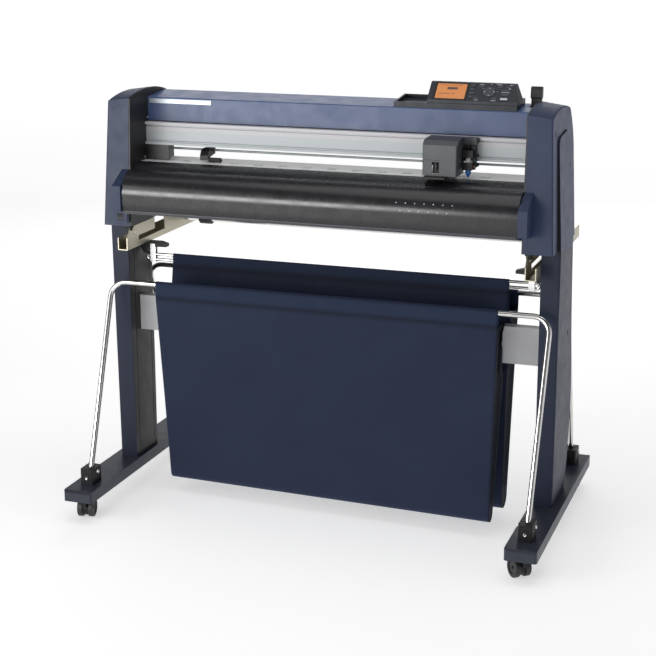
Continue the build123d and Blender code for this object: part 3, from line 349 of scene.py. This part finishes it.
white_ink = speckled("white_ink", (0.75, 0.76, 0.78), 0.5, 500, (0.62, 0.63, 0.66), (0.80, 0.81, 0.83))
pin_light = speckled("pin_light", (0.85, 0.86, 0.87), 0.45, 400, (0.80, 0.80, 0.82), (0.93, 0.93, 0.94))
badge = brushed("badge_plate", (0.46, 0.51, 0.56), 0.40, "X", 0.4)
steel_pin = brushed("steel_pin", (0.72, 0.72, 0.70), 0.25, "X", 1.0)
# near-black finish for the side-cover slots: painted shade of their openings
painted_slot_shade = satin("painted_slot_shade", (0.008, 0.008, 0.010), 0.6, IOR=1.4)
cap_white = satin("cap_white", (0.72, 0.74, 0.76), 0.45, 900, 0.00004, 0.03)
tag_orange = satin("tag_orange", (0.50, 0.12, 0.03), 0.45, 900, 0.00004, 0.04)

# ---------------------------------------------------------------- finishes of the CAD nodes
slot_of = {row["node"]: row["material_slot"] for row in frame["record"]["subparts"]}
own_look = {
    "y_rail": rail,
    "carriage_cover": carriage_grey,
    "carriage_base": carriage_grey,
    "chassis_beam": carriage_grey,
    "panel_housing": panel_grey,
    "front_roll_shaft": shafts,
    "rear_roll_shaft": shafts,
    "left_foot": foot_paint,
    "right_foot": foot_paint,
}
for name, obj in frame["nodes"].items():
    obj.data.materials.clear()
    chosen = own_look.get(name, looks[slot_of[name]])
    obj.data.materials.append(chosen.mat)


# ---------------------------------------------------------------- mesh helpers
def piece(name, verts, faces, look, body="machine", smooth=False):
    mesh = bpy.data.meshes.new(name)
    mesh.from_pydata([tuple(v) for v in verts], [], faces)
    mesh.update()
    obj = bpy.data.objects.new(name, mesh)
    bpy.context.collection.objects.link(obj)
    mesh.materials.append(look.mat)
    if smooth:
        mesh.shade_smooth()
    if body:
        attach(obj, body)
    return obj


def use(obj, kind, **values):
    """Add a modifier and apply it at once."""
    mod = obj.modifiers.new("m", kind)
    for key, value in values.items():
        setattr(mod, key, value)
    bpy.context.view_layer.objects.active = obj
    bpy.ops.object.modifier_apply(modifier=mod.name)


def joined(name, parts, look, body="machine", smooth=False):
    """One piece from several (verts, faces) lists."""
    verts, faces = [], []
    for vs, fs in parts:
        k = len(verts)
        verts += vs
        faces += [tuple(i + k for i in f) for f in fs]
    return piece(name, verts, faces, look, body, smooth)


def slab(frame_of, x0, x1, u0, u1, w0, w1, r=0.4):
    """A flat body with softened edges: frame_of(x, u, w) gives the place of a local millimetre point."""
    r = min(r, (x1 - x0) / 3, (u1 - u0) / 3, (w1 - w0) / 2.1)
    rings = []
    for w, inset in ((w0, 0), (w1 - r, 0), (w1, r)):
        a, b, c, d = x0 + inset, x1 - inset, u0 + inset, u1 - inset
        rings.append([(a + r, c, w), (b - r, c, w), (b, c + r, w), (b, d - r, w),
                      (b - r, d, w), (a + r, d, w), (a, d - r, w), (a, c + r, w)])
    verts = [frame_of(*p) for ring in rings for p in ring]
    faces = [tuple(reversed(range(8))), tuple(range(16, 24))]
    for j in range(2):
        for i in range(8):
            n = (i + 1) % 8
            faces.append((8 * j + i, 8 * j + n, 8 * j + 8 + n, 8 * j + 8 + i))
    return verts, faces


def turned(frame_of, cx, cu, profile, sides=20):
    """A turned body about the local w axis: profile is (radius, w) from its foot to its top."""
    verts, faces = [], []
    for r, w in profile:
        for i in range(sides):
            a = 2 * pi * i / sides
            verts.append(frame_of(cx + r * cos(a), cu + r * sin(a), w))
    for j in range(len(profile) - 1):
        for i in range(sides):
            n = (i + 1) % sides
            faces.append((sides * j + i, sides * j + n, sides * j + sides + n, sides * j + sides + i))
    faces.append(tuple(reversed(range(sides))))
    last = sides * (len(profile) - 1)
    faces.append(tuple(range(last, last + sides)))
    return verts, faces


def front_of(y):
    """Local frame on a face that looks forward: x right, u up, w out of the face."""
    return lambda x, u, w: at(x, y - w, u)


RISE = hypot(43, 40)


def on_panel(x, up, out):
    """Local frame of the sloped key panel."""
    return at(x, -8 + (43 * up - 40 * out) / RISE, 1085 + (40 * up + 43 * out) / RISE)


# ---------------------------------------------------------------- curved media guides
def arc(cy, cz, r, a0, a1, n):
    return [(cy + r * cos(radians(a0 + (a1 - a0) * i / n)), cz + r * sin(radians(a0 + (a1 - a0) * i / n)))
            for i in range(n + 1)]


def swept(name, line, half, thick, look, node, steps=48):
    """A bent sheet along x: line is its middle line in (y, z)."""
    sides = []
    for k, (y, z) in enumerate(line):
        (ya, za), (yb, zb) = line[max(k - 1, 0)], line[min(k + 1, len(line) - 1)]
        ny, nz = za - zb, yb - ya
        n = hypot(ny, nz)
        sides.append((y, z, ny / n * thick / 2, nz / n * thick / 2))
    ring = [(y + a, z + b) for y, z, a, b in sides] + [(y - a, z - b) for y, z, a, b in reversed(sides)]
    m = len(ring)
    verts, faces = [], []
    for i in range(steps + 1):
        x = -half + 2 * half * i / steps
        verts += [at(x, y, z) for y, z in ring]
    for i in range(steps):
        for j in range(m):
            n = (j + 1) % m
            faces.append((m * i + j, m * i + n, m * i + m + n, m * i + m + j))
    faces += [tuple(range(m)), tuple(reversed(range(m * steps, m * steps + m)))]
    obj = piece(name, verts, faces, look, "machine")
    obj.data.shade_smooth()
    obj.data.set_sharp_from_angle(angle=radians(40))
    if node:
        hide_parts(node)
    return obj


front_line = [(-63, 902.5), (-84, 899.8), (-104, 896.5)] + arc(-128, 836, 54.5, 76, 186, 44)
front_line += [(-181.5, 812), (-180.5, 802), (-178.5, 795.5), (-175, 791.2), (-168, 789.9), (-151, 789.8)]
swept("front_guide_sheet", front_line, 511, 2.6, looks["charcoal_guide"], "front_guide")
rear_line = [(41, 902.5), (54, 900.6), (66, 898)] + arc(76, 838, 58, 84, 0, 36)
rear_line += [(134, 818), (134, 806), (130, 797), (124, 791.5), (112, 790.1), (77, 790.1)]
swept("rear_guide_sheet", rear_line, 511, 2.6, looks["charcoal_guide"], "rear_guide")
trim = [(-178.8, 793.6), (-179.6, 791.0), (-178.4, 788.4), (-176, 787.0)]
swept("guide_edge_trim", trim, 508, 0.8, carriage_grey, None, 12)


def guide_point(x, u, w):
    """Local frame on the front guide: u is the height, w out of the sheet."""
    a = (u - 836) / 54.5
    a = max(-1.0, min(1.0, a))
    c = (1 - a * a) ** 0.5
    r = 55.8 + w
    return at(x, -128 - c * r, 836 + a * r)


dots = []
for u, count, first in ((858, 7, 214), (840, 6, 225)):
    for i in range(count):
        spot = lambda a, b, w, u=u: guide_point(a, u + b, w)
        dots.append(turned(spot, first + 23 * i, 0, [(1.4, -0.4), (1.4, 0.2), (0.8, 0.45)], 12))
joined("guide_pins", dots, pin_light, smooth=True)

# ---------------------------------------------------------------- badge bar and screws
bar = front_of(-14)
joined("cover_badge_bar", [slab(bar, -507, -332, 1048.5, 1060.5, 0.05, 1.3, 0.5)], badge)
screws = []
for side in (-1, 1):
    face = lambda x, u, w, s=side: at(s * (511 - w), x, u)
    for y, z in ((-20, 1012), (-18, 1000), (-2, 990), (-26, 953), (-40, 912)):
        screws.append(turned(face, y, z, [(2.6, 0.05), (2.6, 1.0), (1.6, 1.7), (1.3, 1.2)], 14))
joined("flange_screws", screws, steel_pin)

# ---------------------------------------------------------------- control panel print and keys
strokes = []
for x, up, w, h in ((366, 53.6, 12, 1.3), (409, 54.6, 14, 1.3), (439, 54.2, 8, 1.2), (437, 42.5, 6, 1.6),
                    (428, 30.5, 20, 1.1), (360, 4.2, 10, 1.2), (402, 4.0, 13, 1.3), (390, 55.0, 3, 1.3),
                    (372, 40, 2.2, 1.2), (408, 32, 2.2, 1.2)):
    strokes.append(slab(on_panel, x - w / 2, x + w / 2, up - h / 2, up + h / 2, 0.05, 0.2, 0.1))
joined("panel_marks", strokes, white_ink)
membranes = []
for x, up, w in ((366, 47.5, 14), (412, 48.5, 12), (432, 48.0, 12), (428, 36, 18),
                 (428, 24.0, 18), (357, 10, 12), (403, 10.5, 12)):
    membranes.append(slab(on_panel, x - w / 2, x + w / 2, up - 3, up + 3, 0.05, 0.7, 0.5))
joined("membrane_keys", membranes, looks["key_plastic"])
frame_bars = []
bezel_edges = ((251, 255.2, 2, 57), (330.9, 335, 2, 57), (251, 335, 54, 57.5), (251, 335, 1.5, 5))
for x0, x1, bottom, top in bezel_edges:
    frame_bars.append(slab(on_panel, x0, x1, bottom, top, 0.05, 0.9, 0.5))
joined("screen_bezel", frame_bars, looks["black_plastic"])
key_top = 1.25
joined("pause_key_print", [slab(on_panel, 419.5, 436.5, 6.2, 11.8, key_top, key_top + 0.15, 0.1)], white_ink,
       "pause_key")
arrows = []
for k in range(4):
    a = pi / 2 * k
    cx, cu = 388 + 11.2 * cos(a), 30 + 11.2 * sin(a)
    pts = [(cx + 2.0 * cos(a + t), cu + 2.0 * sin(a + t)) for t in (0, 2 * pi / 3, 4 * pi / 3)]
    vs = [on_panel(x, u, w) for w in (key_top, key_top + 0.15) for x, u in pts]
    arrows.append((vs, [(2, 1, 0), (3, 4, 5), (0, 1, 4, 3), (1, 2, 5, 4), (2, 0, 3, 5)]))
joined("arrow_marks", arrows, white_ink, "arrow_pad")

# ---------------------------------------------------------------- carriage dressing
knob = front_of(-105.4)
parts = [slab(knob, 289.5, 292.5, 926, 947, 0.1, 5, 0.8),
         turned(knob, 298, 930, [(2.2, 0), (2.2, 5), (1.2, 6)], 14)]
joined("crosscut_knob", parts, carriage_grey, "carriage")
parts = [slab(knob, 284.5, 288.5, 922.5, 947.5, 0.1, 4, 0.8), slab(knob, 296, 299, 933, 948, 0.1, 4, 0.8)]
joined("crosscut_arm", parts, looks["black_plastic"], "carriage")
level = at
parts = [slab(level, 263, 318, -126, -76, 909.5, 914.5, 1.2),
         slab(level, 268, 310, -121, -80, 914, 915.9, 0.8)]
joined("carriage_shoe", parts, looks["black_plastic"], "carriage")
side_x = lambda x, u, w: at(375.05 + w, x, u)
parts = [slab(side_x, -42, -35.5, 932, 940, -0.5, 5, 1), slab(side_x, -43, -35.5, 956, 961, -0.5, 5, 1),
         slab(side_x, -43, -35.5, 990, 1001, -0.5, 5, 1)]
joined("carriage_fittings", parts, looks["black_plastic"], "carriage")
profile = [(5.4, 952.1), (5.4, 957), (4.2, 959.5), (4.2, 966), (3, 967.5)]
joined("holder_cap", [turned(level, 358, -57.5, profile, 24)], cap_white, "tool", True)
parts = [turned(level, 350.5, -66, [(2.4, 944.2), (2.4, 947), (1.4, 948)], 14)]
joined("collar_button", parts, cap_white, "tool", True)
side_tag = lambda a, b, w: at(370.05 + w, a, b)
joined("collar_tag", [slab(side_tag, -69, -60, 928, 939, 0.02, 0.8, 0.3)], tag_orange, "tool")

# ---------------------------------------------------------------- basket clamp pins and feet details
pins = []
for sx in (-1, 1):
    for sy in (-1, 1):
        y = sy * 280.0
        across = lambda a, b, w, y=y, sx=sx: at(sx * 578 + w, y + a, b)
        pins.append(turned(across, 0, 119, [(2.6, -23), (2.6, 23)], 14))
        for end in (-1, 1):
            head = [(4.8, 18.1 * end), (5.4, 19.5 * end), (4.6, 22.6 * end), (2.0, 23.4 * end)]
            pins.append(turned(across, 0, 119, head, 16))
        cap = lambda a, b, w, y=y, sx=sx, sy=sy: at(sx * 578 + a, y + sy * (25 + w), b)
        pins.append(turned(cap, 0, 106, [(4.4, 0.1), (4.4, 1.6), (3.2, 2.6), (1.5, 2.2)], 16))
joined("clamp_pins", pins, steel_pin)


def cover_out(z, out=0.0):
    """Outer face of a side cover at a height."""
    return 587.5 - 15 * (z - 744) / 318 + out


# each slot is a flat near-black patch on the cover: painted shade standing in for the slot's opening
slots = []
for side in (-1, 1):
    lean = lambda a, b, w, s=side: at(s * cover_out(b, w), a, b)
    for y, z in ((-92, 1025), (-84, 757)):
        slots.append(slab(lean, y - 4, y + 4, z - 7, z + 7, 0.05, 0.35, 1.5))
joined("cover_slots", slots, painted_slot_shade)

# dark strip in the groove in front of and above each outer panel: a painted shadow of the groove, drawn as
# black plastic
edge = [(-80, 743), (-68, 996), (-62, 1007), (-50, 1013), (36, 1020)]
groove_shadow_strips = []
for side in (-1, 1):
    verts = []
    for k, (y, z) in enumerate(edge):
        (ya, za), (yb, zb) = edge[max(k - 1, 0)], edge[min(k + 1, len(edge) - 1)]
        n = hypot(yb - ya, zb - za)
        ny, nz = (za - zb) / n, (yb - ya) / n
        proud = 8.5 - 4 * (z - 743) / 277 - 0.8
        for out in (0.05, 1.1):
            for x in (cover_out(z, -4.8), cover_out(z, proud)):
                verts.append(at(side * x, y + ny * out, z + nz * out))
    faces = []
    for k in range(len(edge) - 1):
        a = 4 * k
        for i, j in ((0, 1), (1, 3), (3, 2), (2, 0)):
            faces.append((a + i, a + j, a + 4 + j, a + 4 + i)[::side])
    faces += [(0, 2, 3, 1)[::side], (a + 4, a + 5, a + 7, a + 6)[::side]]
    groove_shadow_strips.append((verts, faces))
joined("panel_groove_shadow", groove_shadow_strips, looks["black_plastic"])

stubs = []
for side in (-1, 1):
    foot_profile = [(11, 743.5), (11, 737), (8, 736), (8, 730), (6.5, 728.5)]
    stubs.append(turned(at, side * 526.0, -112, foot_profile, 20))
joined("cover_feet", stubs, looks["black_plastic"])

# ---------------------------------------------------------------- hanging cloth
CLOTH_X = 455.0
TOP_Y, TOP_Z = 110.0, 589.0
ROD_TOP = 644.0
WRAP = 8.1
POCKET_DEPTH = 40.0
STEP = 13.0


def mixed(a, b, t):
    return a + (b - a) * t


def cloth_line(t):
    """Middle line of the whole cloth at one place across it (t from 0 at the left to 1 at the right)."""
    low_front = mixed(-72, -112, t)          # the front pocket's foot swings forward at the right
    foot_z = 60.0
    front = [(-TOP_Y + WRAP + 1, 553)] + arc(-TOP_Y, TOP_Z, WRAP, 0, 180, 8)
    front += [(-TOP_Y - WRAP, 556)]
    k = len(front)
    front += [(mixed(-TOP_Y - WRAP, low_front, 0.55), 300), (low_front, foot_z)]
    front += arc(low_front + POCKET_DEPTH / 2, foot_z, POCKET_DEPTH / 2, 180, 360, 8)[1:]
    front += [(-22.5, 425), (-22.5, 536), (-WRAP + 3, 630)]
    crest = arc(0, ROD_TOP, 5.1, 180, 0, 6)
    low_rear = mixed(34, 30, t)
    rear = [(WRAP - 3, 630), (16.5, 536), (16.5, 425), (low_rear, 52)]
    rear += arc(low_rear + 30, 52, 30, 180, 360, 10)[1:]
    rear += [(mixed(low_rear + 60, TOP_Y + WRAP, 0.5), 320), (TOP_Y + WRAP, 556)]
    tail = arc(TOP_Y, TOP_Z, WRAP, 0, 180, 8) + [(TOP_Y - WRAP - 1, 553)]
    return front, crest, rear, tail, k


def build_cloth():
    columns = ceil(2 * CLOTH_X / STEP)
    grid = []
    base = None
    for c in range(columns + 1):
        t = c / columns
        front, crest, rear, tail, k = cloth_line(t)
        whole = front + crest + rear + tail
        if base is None:
            counts = []
            for (ya, za), (yb, zb) in zip(whole, whole[1:]):
                counts.append(max(1, round(hypot(yb - ya, zb - za) / STEP)))
            base = counts
        line = [whole[0]]
        for (ya, za), (yb, zb), n in zip(whole, whole[1:], base):
            line += [(mixed(ya, yb, i / n), mixed(za, zb, i / n)) for i in range(1, n + 1)]
        grid.append(line)
    rows = len(grid[0])
    # row numbers of the places that hold the cloth and of the pockets' feet
    def row_of(index):
        return sum(base[:index])
    nf, nc, nr = len(front), len(crest), len(rear)
    held = {
        "front": range(0, row_of(k - 1) + 1),
        "crest": range(row_of(nf - 1), row_of(nf + nc) + 1),
        "rear": range(row_of(nf + nc + nr - 1), rows),
    }
    verts, uvs = [], []
    for c, line in enumerate(grid):
        t = c / columns
        run = 0.0
        for r, (y, z) in enumerate(line):
            if r:
                run += hypot(y - line[r - 1][0], z - line[r - 1][1])
            narrow = 1.0 - 0.020 * max(0.0, min(1.0, (560 - z) / 500))
            x = (t - 0.5) * 2 * CLOTH_X * narrow
            verts.append(at(x, y, z))
            uvs.append(((t - 0.5) * 2 * CLOTH_X / 1000, run / 1000))
    faces = []
    for c in range(columns):
        for r in range(rows - 1):
            a = c * rows + r
            faces.append((a, a + 1, a + rows + 1, a + rows))
    main_faces = len(faces)
    # end gussets between the two panels of each pocket
    gussets = []
    front_top = row_of(k - 1) + 1
    spans = [(front_top, row_of(nf - 1) - 1), (row_of(nf + nc) + 1, row_of(nf + nc + nr - 1) - 1)]
    across = 5
    for c in (0, columns):
        line = grid[c]
        for first, last in spans:
            foot = min(range(first, last + 1), key=lambda r: line[r][1])
            # rows from the foot upwards, paired by height
            lefts = [r for r in range(foot, first - 1, -1)]
            start = len(faces)
            previous = None
            for left in lefts:
                z = line[left][1]
                if z > 571:
                    break
                right = min(range(foot, last + 1), key=lambda r: abs(line[r][1] - z) if r >= foot else 1e9)
                ya, yb = line[left], line[right]
                ids = [c * rows + left]
                for i in range(1, across):
                    f = i / across
                    y, zz = mixed(ya[0], yb[0], f), mixed(ya[1], yb[1], f)
                    fold = sin(pi * f) * (7 if z > 90 else 2)
                    x = verts[c * rows + left].x * 1000
                    x -= (1 if c else -1) * fold
                    verts.append(at(x, y, zz))
                    uvs.append((y / 1000, zz / 1000))
                    ids.append(len(verts) - 1)
                ids.append(c * rows + right)
                if previous:
                    for i in range(across):
                        quad = [previous[i], previous[i + 1], ids[i + 1], ids[i]]
                        clean = [v for j, v in enumerate(quad) if v not in quad[:j]]
                        if len(clean) > 2:
                            faces.append(tuple(clean if c else reversed(clean)))
                previous = ids
            gussets.append((start, len(faces)))
    return verts, uvs, faces, main_faces, gussets, held, rows, columns, grid


def hang(obj, held, rows, columns):
    """Let the cloth settle on its rods with a little slack, then keep the settled shape."""
    group = obj.vertex_groups.new(name="held")
    pinned = set()
    for part in held.values():
        for r in part:
            pinned.update(c * rows + r for c in range(columns + 1))
    soft = {}
    for i, v in enumerate(obj.data.vertices):
        if i in pinned:
            soft[i] = 1.0
        else:
            z = v.co.z * 1000
            soft[i] = 0.045 if z > 110 else 0.16
    for i, w in soft.items():
        group.add([i], w, "REPLACE")
    beam_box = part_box("cross_beam")
    lo, hi = Vector(beam_box[0]), Vector(beam_box[1])
    vs = [Vector((x, y, z)) for x in (lo.x, hi.x) for y in (lo.y, hi.y) for z in (lo.z, hi.z)]
    fs = [(0, 1, 3, 2), (4, 6, 7, 5), (0, 4, 5, 1), (2, 3, 7, 6), (0, 2, 6, 4), (1, 5, 7, 3)]
    stop = piece("cloth_stop", vs, fs, looks["grey_paint"], None)
    stop.modifiers.new("c", "COLLISION")
    stop.collision.thickness_outer = 0.003
    mod = obj.modifiers.new("cloth", "CLOTH")
    s = mod.settings
    s.quality = 6
    s.mass = 0.25
    s.tension_stiffness = s.compression_stiffness = 18
    s.shear_stiffness = 6
    s.bending_stiffness = 0.35
    s.tension_damping = s.compression_damping = 8
    s.air_damping = 2.0
    s.vertex_group_mass = "held"
    s.pin_stiffness = 1.0
    s.shrink_min = -0.016
    mod.collision_settings.use_self_collision = False
    mod.collision_settings.distance_min = 0.003
    scene = bpy.context.scene
    last = 26
    mod.point_cache.frame_start = 1
    mod.point_cache.frame_end = last
    for f in range(1, last + 1):
        scene.frame_set(f)
    bpy.context.view_layer.objects.active = obj
    bpy.ops.object.modifier_apply(modifier=mod.name)
    scene.frame_set(1)
    bpy.data.objects.remove(stop)


def cloth_pieces():
    verts, uvs, faces, main_faces, gussets, held, rows, columns, grid = build_cloth()
    obj = piece("basket_sheet", verts, faces, looks["basket_fabric"], "machine")
    obj.data.materials.append(black_cloth.mat)
    layer = obj.data.uv_layers.new(name="cloth")
    for loop in obj.data.loops:
        layer.data[loop.index].uv = uvs[loop.vertex_index]
    seam_and_shade = obj.data.attributes.new("seam_and_shade", "FLOAT", "POINT")
    sleeve = obj.data.attributes.new("sleeve", "FLOAT", "POINT")
    for c in range(columns + 1):
        for r in range(rows):
            i = c * rows + r
            y, z = grid[c][r]
            near_top = z > 545 and abs(y) > 90
            near_rod = z > 600
            # rows along the sewn lines, which the cloth's finish paints darker: partly stitching, partly
            # painted shade in the crease
            line = abs(z - 556) < 4 and abs(y) > 90 or abs(z - 612) < 5 and z < 630
            seam_and_shade.data[i].value = 0.8 if line else 0.0
            sleeve.data[i].value = 0.55 if (near_top and z > 559) or (near_rod and z > 617) else 0.0
    hang(obj, held, rows, columns)
    # gathers under the sleeves
    for c in range(columns + 1):
        for r in range(rows):
            i = c * rows + r
            y, z = grid[c][r]
            x = verts[i].x * 1000
            top = 556 if abs(y) > 60 else 612
            if abs(y) > 60 or z > 540:
                fade = exp(-((z - top) / 26.0) ** 2)
                wave = sin(x / 7.1 + 1.3 * sin(x / 41.0)) + 0.7 * sin(x / 4.3 + 2.0 * sin(x / 63.0))
                side = -1 if y < 0 or (abs(y) < 30) else 1
                obj.data.vertices[i].co.y += side * 0.0007 * fade * wave
    pieces = []
    names = ("left_front_gusset", "left_rear_gusset", "right_front_gusset", "right_rear_gusset")
    for name, (first, last) in zip(names, gussets):
        bm = bmesh.new()
        bm.from_mesh(obj.data)
        bm.faces.ensure_lookup_table()
        away = [f for f in bm.faces if not first <= f.index < last]
        bmesh.ops.delete(bm, geom=away, context="FACES")
        mesh = bpy.data.meshes.new(name)
        bm.to_mesh(mesh)
        bm.free()
        part = bpy.data.objects.new(name, mesh)
        bpy.context.collection.objects.link(part)
        mesh.materials.clear()
        mesh.materials.append(black_cloth.mat)
        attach(part, "machine")
        pieces.append(part)
    bm = bmesh.new()
    bm.from_mesh(obj.data)
    bm.faces.ensure_lookup_table()
    bmesh.ops.delete(bm, geom=[f for f in bm.faces if f.index >= main_faces], context="FACES")
    bm.to_mesh(obj.data)
    bm.free()
    for part in [obj, *pieces]:
        for poly in part.data.polygons:
            poly.use_smooth = True
        use(part, "SUBSURF", levels=1, render_levels=1)
        use(part, "SOLIDIFY", thickness=0.0012, offset=0.0)
    # a gusset's flat size is read off the finished piece, so its area check can't fail
    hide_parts("basket_cloth")
    for part in pieces:
        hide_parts("basket_cloth")


cloth_pieces()


# ---------------------------------------------------------------- studio
def stage_plane(name, size, place, look):
    bpy.ops.mesh.primitive_plane_add(size=size, location=place)
    made = bpy.context.object
    made.name = name
    made.data.materials.append(look.mat)
    return made


floor = Look("studio_floor", (0.88, 0.88, 0.88), 0.8, Emission_Strength=1.0)
floor.feed("Base Color", floor.ramp(floor.noise(0.6, 2), (0.3, (0.875, 0.875, 0.875)),
                                    (0.7, (0.885, 0.885, 0.885))))
spread = floor.maths("ABSOLUTE", floor.axis("Y"))
floor.feed("Emission Color", floor.ramp(floor.span(spread, 0, 8, 0, 1), (0.0, (0.53, 0.53, 0.53)),
                                        (0.10, (0.56, 0.56, 0.56)), (0.5, (0.80, 0.80, 0.80)),
                                        (1.0, (0.9, 0.9, 0.9))))
stage_plane("floor", 80, (0, 0, -0.0005), floor)


def card(name, size, place, turn):
    """A dark card that only gloss can see."""
    dark = Look(name + "_look", (0.01, 0.01, 0.012), 0.9)
    made = stage_plane(name, 1, place, dark)
    made.scale = (size[0], size[1], 1)
    made.rotation_euler = turn
    made.visible_camera = False
    made.visible_diffuse = False
    made.visible_shadow = False
    made.visible_transmission = False
    return made


def softbox(name, size, place, target, power, colour=(1, 1, 1)):
    light = bpy.data.lights.new(name, "AREA")
    light.shape = "RECTANGLE"
    light.size, light.size_y = size
    light.energy = power
    light.color = colour
    lamp = bpy.data.objects.new(name, light)
    lamp.visible_camera = False
    bpy.context.collection.objects.link(lamp)
    lamp.location = place
    lamp.rotation_euler = (Vector(target) - Vector(place)).to_track_quat("-Z", "Y").to_euler()
    return lamp


softbox("key", (2.4, 2.0), (-3.2, -3.2, 2.2), (0, 0, 0.7), 48, (1, 0.99, 0.97))
softbox("top", (3.4, 2.4), (0.2, -0.2, 3.4), (0, 0, 0.5), 34)
softbox("right", (1.4, 2.4), (3.8, -0.4, 1.5), (0.3, 0, 0.7), 9)
softbox("back", (2.8, 1.3), (-1.2, 3.6, 2.15), (0, 0, 1.0), 22)
low = softbox("low", (1.8, 1.0), (-1.5, -3.4, 0.95), (0, -0.2, 0.85), 84)
low.visible_diffuse = False
card("card_left", (1.4, 3.2), (-2.1, -0.9, 1.0), (pi / 2, 0, radians(65)))
card("card_right", (1.2, 3.0), (2.6, -2.0, 1.0), (pi / 2, 0, radians(-50)))

# a room that is bright around the horizon and dark overhead
world = bpy.data.worlds.new("studio")
bpy.context.scene.world = world
world.use_nodes = True
room = world.node_tree
backdrop = room.nodes["Background"]
where = room.nodes.new("ShaderNodeSeparateXYZ")
room.links.new(room.nodes.new("ShaderNodeTexCoord").outputs["Generated"], where.inputs[0])
sky = room.nodes.new("ShaderNodeValToRGB")
sky.color_ramp.elements.new(0.35)
for stop, (height, grey) in zip(sky.color_ramp.elements, ((0.0, 0.95), (0.35, 0.42), (1.0, 0.14))):
    stop.position = height
    stop.color = (grey, grey, grey * 1.03, 1)
room.links.new(where.outputs[2], sky.inputs[0])
room.links.new(sky.outputs[0], backdrop.inputs["Color"])
backdrop.inputs["Strength"].default_value = 0.45

camera_data = bpy.data.cameras.new("camera")
camera_data.lens = 84.54
camera_data.sensor_width = 36
camera_data.clip_end = 200
camera = bpy.data.objects.new("camera", camera_data)
bpy.context.collection.objects.link(camera)
camera.location = (1.2516, -3.68935, 1.5242)
camera.rotation_euler = Vector((-0.31743, 0.91191, -0.26013)).to_track_quat("-Z", "Y").to_euler()
bpy.context.scene.camera = camera
bpy.context.scene.view_settings.view_transform = "Standard"

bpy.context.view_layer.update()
